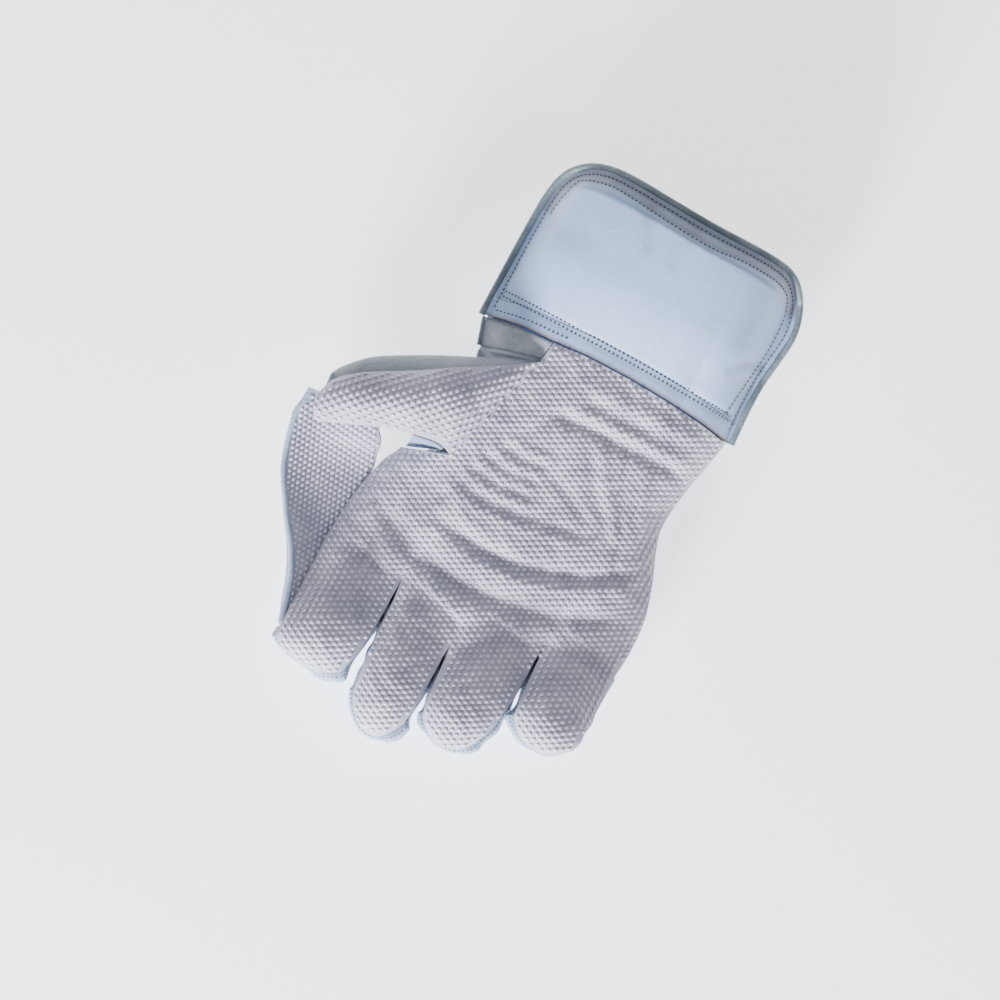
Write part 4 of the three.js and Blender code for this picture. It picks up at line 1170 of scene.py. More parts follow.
@dataclass
class Rubber:
    """The pimpled rubber of palm, fingers and thumb."""

    hand: Hand
    thumb: Thumb
    pimple_radius: float = 1.42
    pimple_height: float = 0.95
    pimple_variation: float = 0.07
    pimple_seed: int = 4
    edge_margin: float = 1.3
    apart: float = 2.4
    fold_shade: float = 0.06
    darkest: float = 0.2
    sheet: Sheet = field(default_factory=Sheet)

    # Steps of the pimples across and along, the middle of their lattice and its reach
    STRAIGHT = ((3.12, 1.6), (0.0, 3.2), (-30.0, -100.0), 190.0)
    TURNED = ((2.49, 2.26), (3.14, -1.29), (-80.0, -50.0), 95.0)

    # Columns of the palm with the lines at both their sides
    OUTER = (("outer", "radial", "thumb"),)
    COLUMNS = (("inner", "thumb", "middle"), ("middle", "middle", "ring"),
               ("ring", "ring", "little"), ("little", "little", "ulnar"))

    def shade(self, rows: Array) -> Array:
        """Returns the painted shade of the rubber at points, darker where its folds are deeper.

        Args:
            rows: The points.

        Returns:
            A shade for each.
        """
        depth = self.hand.fold(rows[..., 0], rows[..., 1])
        return np.clip(depth * self.fold_shade, 0.0, self.darkest)

    def shape(self) -> "Rubber":
        """Builds the sheet, with one grid of points for each part.

        Returns:
            The rubber itself.
        """
        hand = self.hand
        columns = hand.columns
        shares = np.arange(hand.rows + 1) / hand.rows
        palm = np.array([hand.palm_row(self.COLUMNS, columns, u) for u in shares])
        outer = np.array([hand.palm_row(self.OUTER, columns, u) for u in shares[hand.crotch_row:]])
        self.sheet.grid(palm, shade=self.shade(palm), name="palm")
        self.sheet.grid(outer, shade=self.shade(outer), name="outer")
        roots = np.concatenate([outer[-1, :-1], palm[-1]])
        for finger, rows in hand.finger_grids(roots, columns, True):
            self.sheet.grid(rows, shade=self.shade(rows), name=finger.name)
        line = palm[hand.thumb_first_row:hand.crotch_row + 1, 0]
        s = np.linspace(0.0, 1.0, len(line))
        slip = line - self.thumb.row(hand, 0.0, s)
        rows = np.array([self.thumb.row(hand, u, s) + slip * (1 - smooth(u / self.thumb.root_share))
                         for u in self.thumb.stations()])
        rows[1:, 1:-1, 2] += self.thumb_relief(rows[1:, 1:-1])
        self.sheet.grid(rows, name="thumb").join()
        return self

    def thumb_relief(self, rows: Array) -> Array:
        """Returns the rise of the thumb's own creases, which fade at its edges.

        Args:
            rows: The thumb's inner points.

        Returns:
            A rise for each.
        """
        share = np.linspace(0.0, 1.0, rows.shape[1] + 2)[1:-1]
        fade = smooth(5 * np.minimum(share, 1 - share))
        return relief(rows[..., 0], rows[..., 1], THUMB_RIDGES) * fade

    def lattice(self, across: tuple[float, float], along: tuple[float, float],
                middle: tuple[float, float], reach: float) -> Array:
        """Returns the places of a slanted lattice about a middle.

        Args:
            across: The step between columns.
            along: The step between rows.
            middle: The middle.
            reach: The greatest distance from it.

        Returns:
            Places in the plan.
        """
        count = int(reach / self.apart)
        i, j = np.meshgrid(np.arange(-count, count + 1), np.arange(-count, count + 1))
        spots = i[..., None] * np.array(across) + j[..., None] * np.array(along)
        spots = spots.reshape(-1, 2) + np.array(middle)
        return spots[np.hypot(*(spots - np.array(middle)).T) < reach]

    def spots(self, blocks: Sequence[str], places: Array) -> tuple[list, list]:
        """Drops lattice places on parts of the rubber.

        Args:
            blocks: The parts that take them.
            places: Places in the plan.

        Returns:
            Points on the rubber that stay clear of its edges, and the way that it faces there.
        """
        points = self.sheet.points
        inside = np.zeros(len(points), bool)
        for name in blocks:
            inside[self.sheet.part(name)] = True
        faces = [face for face in self.sheet.faces if inside[list(face)].all()]
        return drop(probe(points, faces), places, self.edge_margin, probe(points, self.sheet.faces))

    def pimple_points(self) -> tuple[Array, Array]:
        """Returns the places of the pimples on palm, fingers and thumb, and their facing."""
        parts = ["palm", "outer"] + [finger.name for finger in FINGERS]
        points, facing = self.spots(parts, self.lattice(*self.STRAIGHT))
        more, more_facing = self.spots(["thumb"], self.lattice(*self.TURNED))
        apart = np.array([min(math.dist(a, b) for b in points) > self.apart for a in more])
        more = np.array(more)[apart]
        more_facing = np.array(more_facing)[apart]
        return np.concatenate([points, more]), np.concatenate([facing, more_facing])

    def build(self) -> None:
        """Makes the rubber and its pimples."""
        skin("palm_rubber_skin", self.sheet, RUBBER_WALL, RUBBER, Slot.RUBBER, "palm_rubber")
        points, facing = self.pimple_points()
        self.scatter("palm_pimples", points, facing, self.shade(points))

    def scatter(self, name: str, points: Array, facing: Array, shade: Array, width: float = 1.0,
                height: float = 1.0) -> None:
        """Covers points with pimples and hands them in.

        Args:
            name: The piece's name.
            points: Their places.
            facing: The way that each stands up.
            shade: The painted shade of each.
            width: Their width as a share of the palm's ones.
            height: How far they stand out, as a share of the palm's ones.
        """
        made = make_mesh(name, points, [])
        store(made, "facing", facing, "FLOAT_VECTOR")
        store(made, "shade", shade)
        repeat(made, pimple_tree, PIMPLE, {
            "Radius": self.pimple_radius * width / 1000, "Height": self.pimple_height * height / 1000,
            "Variation": self.pimple_variation, "Seed": self.pimple_seed,
        }, Slot.RUBBER)


def drop(tree: BVHTree, places: Array, margin: float,
         whole: Optional[BVHTree] = None) -> tuple[list, list]:
    """Drops places in the plan onto a sheet.

    Args:
        tree: Finds places on the sheet.
        places: Places in the plan.
        margin: How far each stays from the sheet's edge.
        whole: The sheet whose edge counts, where the tree has only a part of it.

    Returns:
        The points that hit, and the way that the sheet faces there.
    """
    points = []
    facing = []
    around = ((margin, 0), (-margin, 0), (0, margin), (0, -margin))
    for x, y in places:
        hit, out = land(tree, x, y)
        if hit is None:
            continue
        if all(land(whole or tree, x + dx, y + dy)[0] is not None for dx, dy in around):
            points.append(tuple(hit))
            facing.append(tuple(out))
    return points, facing


# What repeats


FLOAT = "NodeSocketFloat"


def open_tree(name: str, **inputs: str) -> tuple[Wiring, bpy.types.NodeOutputs]:
    """Starts a geometry tree.

    Args:
        name: The tree's name.
        **inputs: Names and types of its inputs, beside the geometry.

    Returns:
        Its wiring, and the sockets that carry what is given to it.
    """
    tree = bpy.data.node_groups.new(name, "GeometryNodeTree")
    geometry = "NodeSocketGeometry"
    tree.interface.new_socket(name="Geometry", in_out="INPUT", socket_type=geometry)
    tree.interface.new_socket(name="Geometry", in_out="OUTPUT", socket_type=geometry)
    for label, kind in {**inputs, "Material": "NodeSocketMaterial"}.items():
        tree.interface.new_socket(name=label, in_out="INPUT", socket_type=kind)
    wiring = Wiring(tree)
    return wiring, wiring.node("NodeGroupInput").outputs


def close_tree(wiring: Wiring, material: bpy.types.NodeSocket, **instances: object) -> None:
    """Ends a geometry tree: places instances on points, makes them real and paints them.

    Args:
        wiring: The tree's wiring.
        material: The socket that carries the material.
        **instances: The inputs of the node that places instances.
    """
    placed = wiring.node("GeometryNodeInstanceOnPoints", instances)
    real = wiring.node("GeometryNodeRealizeInstances", {"Geometry": placed.outputs["Instances"]})
    painted = wiring.node("GeometryNodeSetMaterial", {
        "Geometry": real.outputs["Geometry"], "Material": material,
    })
    wiring.node("NodeGroupOutput", {"Geometry": painted.outputs["Geometry"]})


def pimple_tree() -> bpy.types.NodeTree:
    """Returns a tree that puts a small dome on every point."""
    wiring, given = open_tree("pimples", Radius=FLOAT, Height=FLOAT, Variation=FLOAT,
                              Seed="NodeSocketInt")
    size = wiring.node("ShaderNodeCombineXYZ", {
        "X": given["Radius"], "Y": given["Radius"], "Z": given["Height"],
    })
    ball = wiring.node("GeometryNodeMeshUVSphere", {"Segments": 7, "Rings": 4, "Radius": 1.0})
    place = wiring.node("GeometryNodeInputPosition")
    height = wiring.node("ShaderNodeSeparateXYZ", {0: place.outputs[0]})
    marked = wiring.node("GeometryNodeStoreNamedAttribute", {
        "Geometry": ball.outputs["Mesh"], "Name": "tip", "Value": height.outputs["Z"],
    }, data_type="FLOAT", domain="POINT")
    dome = wiring.node("GeometryNodeTransform", {
        "Geometry": marked.outputs["Geometry"], "Scale": size.outputs[0],
    })
    facing = wiring.node("GeometryNodeInputNamedAttribute", {"Name": "facing"},
                         data_type="FLOAT_VECTOR")
    turn = wiring.node("FunctionNodeAlignRotationToVector", {
        "Vector": facing.outputs["Attribute"],
    }, axis="Z")
    scale = wiring.node("FunctionNodeRandomValue", {
        2: wiring.math("SUBTRACT", 1.0, given["Variation"]),
        3: wiring.math("ADD", 1.0, given["Variation"]), "Seed": given["Seed"],
    })
    close_tree(wiring, given["Material"], Points=given["Geometry"],
               Instance=dome.outputs["Geometry"], Rotation=turn.outputs["Rotation"],
               Scale=scale.outputs[1])
    return wiring.tree


def stitch_tree() -> bpy.types.NodeTree:
    """Returns a tree that lays stitches along lines."""
    wiring, given = open_tree("stitches", Pitch=FLOAT, Length=FLOAT, Thickness=FLOAT)
    curve = wiring.node("GeometryNodeMeshToCurve", {"Mesh": given["Geometry"]})
    spaced = wiring.node("GeometryNodeResampleCurve", {
        "Curve": curve.outputs["Curve"], "Length": given["Pitch"],
    }, mode="LENGTH")
    half = wiring.math("MULTIPLY", given["Length"], 0.5)
    thin = wiring.math("MULTIPLY", given["Thickness"], 0.5)
    size = wiring.node("ShaderNodeCombineXYZ", {"X": half, "Y": thin, "Z": thin})
    ball = wiring.node("GeometryNodeMeshUVSphere", {"Segments": 6, "Rings": 4, "Radius": 1.0})
    bead = wiring.node("GeometryNodeTransform", {
        "Geometry": ball.outputs["Mesh"], "Scale": size.outputs[0],
    })
    tangent = wiring.node("GeometryNodeInputTangent")
    along = wiring.node("FunctionNodeAlignRotationToVector", {
        "Vector": tangent.outputs["Tangent"],
    }, axis="X")
    close_tree(wiring, given["Material"], Points=spaced.outputs["Curve"],
               Instance=bead.outputs["Geometry"], Rotation=along.outputs["Rotation"])
    return wiring.tree


def repeat(made: bpy.types.Object, build_tree: Callable, finish: Finish,
           values: dict[str, object], slot: Slot) -> None:
    """Runs a tree on an object, keeps the result as its plain mesh and hands it in.

    Args:
        made: The object with the tree's points or lines.
        build_tree: Returns the node tree.
        finish: The finish of what is repeated.
        values: The tree's other inputs by name.
        slot: The material slot.
    """
    tree = build_tree()
    given = {"Material": finish.material(), **values}
    modifier = made.modifiers.new("pattern", "NODES")
    modifier.node_group = tree
    for item in tree.interface.items_tree:
        if item.name in given:
            modifier[item.identifier] = given[item.name]
    bpy.context.view_layer.update()
    graph = bpy.context.evaluated_depsgraph_get()
    mesh = bpy.data.meshes.new_from_object(made.evaluated_get(graph))
    made.modifiers.clear()
    old = made.data
    made.data = mesh
    bpy.data.meshes.remove(old)
    mesh.name = made.name
    dress(made, finish, 80.0)
    hand_in(made, slot)


@dataclass
class Thread:
    """Stitches. Sizes are in millimetres."""

    pitch: float = 2.5
    length: float = 1.6
    thickness: float = 0.85

    def sew(self, name: str, lines: Sequence[Array], slot: Slot) -> None:
        """Sews along lines.

        Args:
            name: The piece's name.
            lines: The points that each row of stitches runs through.
            slot: The material slot of the leather that it holds.
        """
        edges = []
        start = 0
        for line in lines:
            edges += [(start + k, start + k + 1) for k in range(len(line) - 1)]
            start += len(line)
        made = make_mesh(name, np.concatenate(lines), [], edges)
        repeat(made, stitch_tree, THREAD, {
            "Pitch": self.pitch / 1000, "Length": self.length / 1000,
            "Thickness": self.thickness / 1000,
        }, slot)


def lay(tree: BVHTree, line: Sequence[Sequence[float]], lift: float, step: float = 1.5) -> Array:
    """Lays a line of the plan on a sheet.

    Args:
        tree: Finds places on the sheet.
        line: Points in the plan.
        lift: How far above the sheet it lies.
        step: The distance between its points.

    Returns:
        Points on the sheet.
    """
    plan = flat(line)
    length = np.linalg.norm(np.diff(plan, axis=0), axis=1).sum()
    spots = resample(plan, max(2, int(length / step)))
    landed = [land(tree, x, y) for x, y, _ in spots]
    return np.array([tuple(hit + out * lift) for hit, out in landed if hit is not None])


# The leather


@dataclass
class Back:
    """The leather that the glove rests on, flat below the palm and rising under the fingers."""

    hand: Hand
    tray_end: float = 0.085
    tray_fade: float = 0.18
    sheet: Sheet = field(default_factory=Sheet)
    columns: dict[str, int] = field(default_factory=lambda: {
        "outer": 12, "inner": 6, "middle": 16, "ring": 16, "little": 16,
    })

    def shape(self) -> "Back":
        """Builds the sheet.

        Returns:
            The back itself.
        """
        hand = self.hand
        rows = []
        for u in np.arange(hand.rows + 1) / hand.rows:
            row = hand.palm_row(Rubber.OUTER + Rubber.COLUMNS, self.columns, u, True)
            s = (row[:, 0] - row[0, 0]) / (row[-1, 0] - row[0, 0])
            lift = (TRAY_HEIGHT - hand.edge_lift) * (1 - smooth((u - self.tray_end) / self.tray_fade))
            row[:, 2] = (hand.edge_lift + np.where(s < 0.5, lift, 0.0)) * tray(s)
            rows.append(row)
        rows = np.array(rows)
        self.sheet.grid(rows, True, name="palm")
        for finger, grid in hand.finger_grids(rows[-1], self.columns, False):
            self.sheet.grid(grid, True, name=finger.name)
        self.sheet.join()
        return self

    def build(self) -> None:
        """Makes the leather back."""
        skin("back_leather_skin", self.sheet, LEATHER_WALL, PALE, Slot.PALE, "back_leather")


# Where the leather stands out round a finger: the station along its edge (8 and 14 are the tip's
# corners), the half width in stations and the height in millimetres
TABS = {
    "index": ((13.2, 1.5, 4.6), (8.0, 1.0, 0.8)),
    "middle": ((9.0, 1.5, 2.6), (13.3, 1.5, 5.0)),
    "ring": ((8.6, 1.3, 2.6), (13.4, 1.3, 3.6), (16.0, 2.2, 3.0)),
    "little": ((8.7, 1.4, 3.4), (12.0, 1.5, 0.8)),
}


@dataclass
class FingerLeather:
    """The strips of leather round the fingers, between the rubber and the back."""

    rubber: Rubber
    back: Back
    wall_rows: int = 14
    tip_steps: int = 44
    side_swell: float = 1.2
    fullness: float = 3.1
    root_shade: float = 0.85
    crumple: float = 0.5
    corner_ease: float = 4.5
    seam_row: int = 2
    edge_shade: float = 0.55
    seams: list[Array] = field(default_factory=list)

    # Stations of the tip's corners along the edge of a finger
    LEFT_CORNER = 8
    RIGHT_CORNER = 14

    def seat_rubber(self, ids: Array) -> Array:
        """Returns the seat just inside the rubber's wall."""
        return self.rubber.sheet.seat(ids, RUBBER_WALL + SEAM_GAP)

    def seat_back(self, ids: Array) -> Array:
        """Returns the seat just inside the back's wall."""
        return self.back.sheet.seat(ids, LEATHER_WALL + SEAM_GAP)

    def edge(self, ids: Array, seat: Callable) -> Array:
        """Returns the edge of one finger, from its left root round the tip to its right one."""
        rows = ids[1:]
        tip = resample(seat(rows[-1]), self.tip_steps)[1:-1]
        return np.concatenate([seat(rows[:, 0]), tip, seat(rows[::-1, -1])])

    def swells(self, finger: Finger, rows: int) -> Array:
        """Returns how far the leather stands out along that edge.

        Args:
            finger: The finger.
            rows: The rows of the finger's rubber.

        Returns:
            One distance for each point of the edge.
        """
        left = self.LEFT_CORNER + 1
        side = np.arange(1, rows + 1) * left / rows
        corners = self.RIGHT_CORNER - self.LEFT_CORNER
        tip = self.LEFT_CORNER + corners * np.arange(1, self.tip_steps) / self.tip_steps
        station = np.concatenate([side - 1, tip, self.RIGHT_CORNER + (left - side[::-1])])
        swell = np.full(len(station), self.fullness)
        for middle, width, height in TABS[finger.name]:
            swell += height * np.exp(-((station - middle) / width) ** 2)
        return swell

    def shadows(self, finger: Finger, count: int) -> Array:
        """Returns the painted shade on the leather between the roots of two fingers.

        Args:
            finger: The finger.
            count: The number of points along its edge.

        Returns:
            A shade for each point.
        """
        half = count // 2
        dark = np.zeros(count)
        fall = 1 - smooth(np.arange(half) / (0.5 * half))
        if finger.name != "index":
            dark[:half] = fall
        if finger.name != "little":
            dark[-half:] = fall[::-1]
        return self.root_shade * dark

    def outward(self, line: Array, length: Array) -> Array:
        """Returns the way out of a finger along its edge, eased round corners.

        Args:
            line: The edge.
            length: How far each of its points lies along it.

        Returns:
            One direction in the plan for each point.
        """
        run = np.diff(line[:, :2], axis=0)
        middle = (length[1:] + length[:-1]) / 2
        near = np.exp(-((length[:, None] - middle[None]) / self.corner_ease) ** 2)
        eased = near @ run
        return unit(np.stack([eased[:, 1], -eased[:, 0]], axis=1))

    def strip(self, name: str, upper: Array, lower: Array, swells: Array,
              shadows: Array) -> None:
        """Makes one strip from its upper and lower edge.

        Args:
            name: The solid's name that it stands for.
            upper: Points below the rubber.
            lower: Points inside the back, as many as there are upper ones.
            swells: How far the strip stands out at each.
            shadows: The painted shade at each.
        """
        length = np.concatenate([[0.0], np.cumsum(np.linalg.norm(np.diff(upper, axis=0), axis=1))])
        out = self.outward(upper, length)
        rows = []
        shades = []
        for i in range(self.wall_rows + 1):
            v = i / self.wall_rows
            row = mix(upper, lower, v)
            wave = np.sin(length / 3.1 + 1.7 * np.sin(length / 7.3) + 2 * v) * math.sin(math.pi * v)
            bulge = swells * math.sin(math.pi * v ** 0.8) + self.crumple * wave
            row[:, :2] += out * bulge[:, None]
            rows.append(row)
            # A dark seam line along the rubber's edge, and the painted shade between the finger roots
            line = self.edge_shade * math.exp(-((v * self.wall_rows) / 1.2) ** 2)
            shades.append(np.maximum(line, shadows))
        sheet = Sheet().grid(np.array(rows), shade=np.array(shades)).join()
        skin(name + "_skin", sheet, LEATHER_WALL, FINGER, Slot.PALE, name)
        self.seams.append(rows[self.seam_row] + np.c_[out * 0.05, np.full(len(out), 0.1)])

    def build(self) -> None:
        """Makes the four strips."""
        hand = self.rubber.hand
        for finger in FINGERS:
            ids = self.rubber.sheet.part(finger.name)
            upper = self.edge(ids, self.seat_rubber)
            lower = self.edge(self.back.sheet.part(finger.name), self.seat_back)
            swells = self.swells(finger, len(ids) - 1)
            shadows = self.shadows(finger, len(swells))
            if finger.name == "index":
                outer = self.rubber.sheet.part("outer")
                crotch = self.seat_rubber(outer[0, ::-1])[1:-1]
                crotch[:, 2] -= SEAM_GAP
                side = self.seat_rubber(outer[:, 0])
                first = hand.crotch_row - ROW_STEP
                under = self.seat_back(self.back.sheet.part("palm")[first:, 0])
                corner = resample(under[:ROW_STEP + 1], len(crotch) + 1)[1:-1]
                upper = np.concatenate([crotch, side, upper])
                lower = np.concatenate([corner, under[ROW_STEP:], lower])
                extra = np.full(len(crotch) + len(side), self.side_swell)
                swells = np.concatenate([extra, swells])
                shadows = np.concatenate([np.zeros(len(extra)), shadows])
            if finger.name == "little":
                side = self.seat_rubber(self.rubber.sheet.part("palm")[::-1, -1])
                under = self.seat_back(self.back.sheet.part("palm")[::-1, -1])
                upper = np.concatenate([upper, side])
                lower = np.concatenate([lower, under])
                extra = np.full(len(side), self.side_swell)
                swells = np.concatenate([swells, extra])
                shadows = np.concatenate([shadows, np.zeros(len(extra))])
            self.strip(f"{finger.name}_gusset", upper, lower, swells, shadows)


@dataclass
class ThumbLeather:
    """The leather behind the thumb, a horn that opens on the hand and closes at the tip."""

    leather: FingerLeather
    thumb: Thumb
    gusset_rise: float = 4.0
    peak: float = 4.13
    tip_start: float = 0.8
    root_end: float = 0.45
    depth_closes: float = 0.08
    swell_closes: float = 0.04
    seam_shade: float = 0.6
    steps: int = 64
    gusset_low: Array = field(init=False)
    low_edge: Array = field(init=False)

    def on_back(self, ids: Array) -> Array:
        """Returns points just above the back leather."""
        points = self.leather.back.sheet.points[ids].copy()
        points[..., 2] += LEATHER_WALL + 2 * WRIST_GAP
        return points

    def shape(self) -> Array:
        """Returns the horn's rows of points."""
        rubber = self.leather.rubber
        hand = rubber.hand
        ids = rubber.sheet.part("thumb")
        top = self.leather.seat_rubber(ids[:, 0])
        low = self.leather.seat_rubber(ids[:, -1])
        end = resample(self.leather.seat_rubber(ids[-1]), self.steps)
        end[:, 2] -= 2 * SEAM_GAP
        edge = self.leather.back.sheet.part("palm")[:, 0]
        foot = self.on_back(edge[hand.thumb_first_row])
        middle = (top[0] + foot) / 2
        middle[2] += self.gusset_rise
        self.gusset_low = resample([top[0], middle, foot], 6)
        heel = self.on_back(edge[hand.thumb_first_row + ROW_STEP:hand.crotch_row:ROW_STEP])
        given = np.concatenate([self.gusset_low, heel, low[:1]])
        turn = np.linspace(0.0, 1.0, self.steps + 1)
        stations = np.linspace(0.0, 1.0, len(given))
        root = np.stack([smooth_line(stations, c, turn) for c in given.T], axis=1)
        self.low_edge = low
        bulge = self.peak * np.sin(math.pi * turn) * (1 - turn) ** 4
        rise = np.array([self.thumb.axis[1], -self.thumb.axis[0], 0.0])
        across = (1 - np.cos(math.pi * turn)) / 2
        rows = []
        for i, u in enumerate(self.thumb.stations()):
            row = top[i] + (low[i] - top[i]) * across[:, None]
            row = mix(row, end, smooth((u - self.tip_start) / (1 - self.tip_start)))
            deep = THUMB_COURSE.at("depth", u) * self.thumb.depth
            deep *= smooth((1 - u) / self.depth_closes)
            row[:, 2] -= deep * np.maximum(np.sin(math.pi * turn), 0.0) ** 0.8
            swell = THUMB_COURSE.at("swell", u) * self.thumb.swell
            swell *= smooth((1 - u) / self.swell_closes)
            row += rise * (swell * bulge)[:, None]
            rows.append(mix(root, row, smooth(u / self.root_end)))
        return np.array(rows)

    def build(self) -> None:
        """Makes the horn."""
        rows = self.shape()
        near = np.exp(-(np.arange(rows.shape[1]) / 1.6) ** 2)
        open_part = smooth((1 - self.thumb.stations()) / (1 - self.tip_start))
        sheet = Sheet().grid(rows, True, self.seam_shade * open_part[:, None] * near).join()
        skin("thumb_back_skin", sheet, LEATHER_WALL, SHADED_THUMB, Slot.PALE, "thumb_back")


@dataclass
class Web:
    """The catching web between thumb and index finger."""

    leather: FingerLeather
    width: float = 47.0
    height: float = 43.0
    binding_radius: float = 1.7
    binding_drop: float = 0.7
    binding_out: float = 0.3
    binding_end: tuple[float, float, float] = (4.5, -2.0, -1.5)
    overlap: float = 1.0
    pimple_margin: float = 1.1
    pimple_width: float = 0.92
    pimple_rise: float = 0.85
    sag: float = 1.0
    rows: int = 72
    steps: int = 26

    # Steps of the pimples across and along, the middle of their lattice and its reach
    LATTICE = ((2.72, -0.3), (-1.03, 2.96), (-130.0, -120.0), 80.0)

    def shape(self) -> Sheet:
        """Returns the web's sheet."""
        rubber = self.leather.rubber
        length = rubber.hand.palm_length
        course = np.concatenate([rubber.sheet.part("outer")[:, 0], rubber.sheet.part("index")[1:, 0]])
        seat = self.leather.seat_rubber(course)
        order = np.argsort(-seat[:, 1])
        down = -seat[order, 1]
        s = np.linspace(0.0, 1.0, self.steps + 1)
        rows = []
        for u in np.linspace(0.0, 1.0, self.rows + 1):
            at = WEB_COURSE.all_at(u)
            outer_y = at["outerAlong"] * length
            inner_y = at["innerAlong"] * length
            inner_x = np.interp(inner_y, down, seat[order, 0])
            inner_z = np.interp(inner_y, down, seat[order, 2])
            outer_x = np.interp(outer_y, down, seat[order, 0])
            inner = np.array([
                inner_x - self.leather.side_swell / 2 - 2 * SEAM_GAP - at["foot"] * self.width,
                -inner_y, inner_z - RUBBER_WALL + at["innerRise"] * self.height,
            ])
            outer = np.array([
                outer_x - at["reach"] * self.width - self.overlap, -outer_y,
                at["outerRise"] * self.height,
            ])
            row = outer + (inner - outer) * s[:, None]
            row[:, 2] -= self.sag * np.sin(math.pi * s) * (1 - u)
            rows.append(row)
        edge = np.minimum(np.arange(self.steps + 1)[::-1] / 1.5, 4.0)
        shade = np.tile(0.5 * np.exp(-edge ** 2), (len(rows), 1))
        return Sheet().grid(np.array(rows), shade=shade).join()

    def build(self) -> Array:
        """Makes the web's rubber with its pimples, its backing and its bound edge.

        Returns:
            The line of the seam on the index finger.
        """
        sheet = self.shape()
        rubber = self.leather.rubber
        skin("web_rubber_skin", sheet, RUBBER_WALL, RUBBER, Slot.RUBBER, "web_rubber")
        tree = probe(sheet.points, sheet.faces)
        points, facing = drop(tree, rubber.lattice(*self.LATTICE), self.pimple_margin)
        rubber.scatter("web_pimples", np.array(points), np.array(facing), np.zeros(len(points)),
                       self.pimple_width, self.pimple_rise)
        backing = sheet.set_back(RUBBER_WALL + SEAM_GAP)
        skin("web_backing_skin", backing, LEATHER_WALL, SUEDE, Slot.GREY, "web_backing")
        ids = sheet.part()
        edge = sheet.points[ids[:, 0]][::-1] - [0.0, 0.0, self.binding_drop]
        edge = beside(edge, self.binding_out)
        path = resample(np.concatenate([edge[:1] + self.binding_end, edge]), 90)
        cord("web_binding_cord", path, self.binding_radius, FINGER, ["web_binding"])
        return sheet.points[ids[14:-6, -2]] + [0.0, 0.0, 0.25]


# The cuff


def patch(low: Array, top: Array, left: Array, right: Array, rows: int, steps: int) -> Array:
    """Fills four edges in the plan with points.

    Args:
        low: The lower edge, from left to right.
        top: The upper edge, from left to right.
        left: The left edge, from low to top.
        right: The right edge, from low to top.
        rows: Steps along the sides.
        steps: Steps across.

    Returns:
        Rows of places, the top row first.
    """
    low_edge = resample(low, steps)
    top_edge = resample(top, steps)
    left_edge = resample(left, rows)[::-1]
    right_edge = resample(right, rows)[::-1]
    s = np.linspace(0.0, 1.0, steps + 1)[None, :, None]
    t = np.linspace(1.0, 0.0, rows + 1)[:, None, None]
    points = mix(left_edge[:, None], right_edge[:, None], s) + mix(low_edge[None], top_edge[None], t)
    corners = mix(mix(low_edge[0], low_edge[-1], s), mix(top_edge[0], top_edge[-1], s), t)
    return points - corners


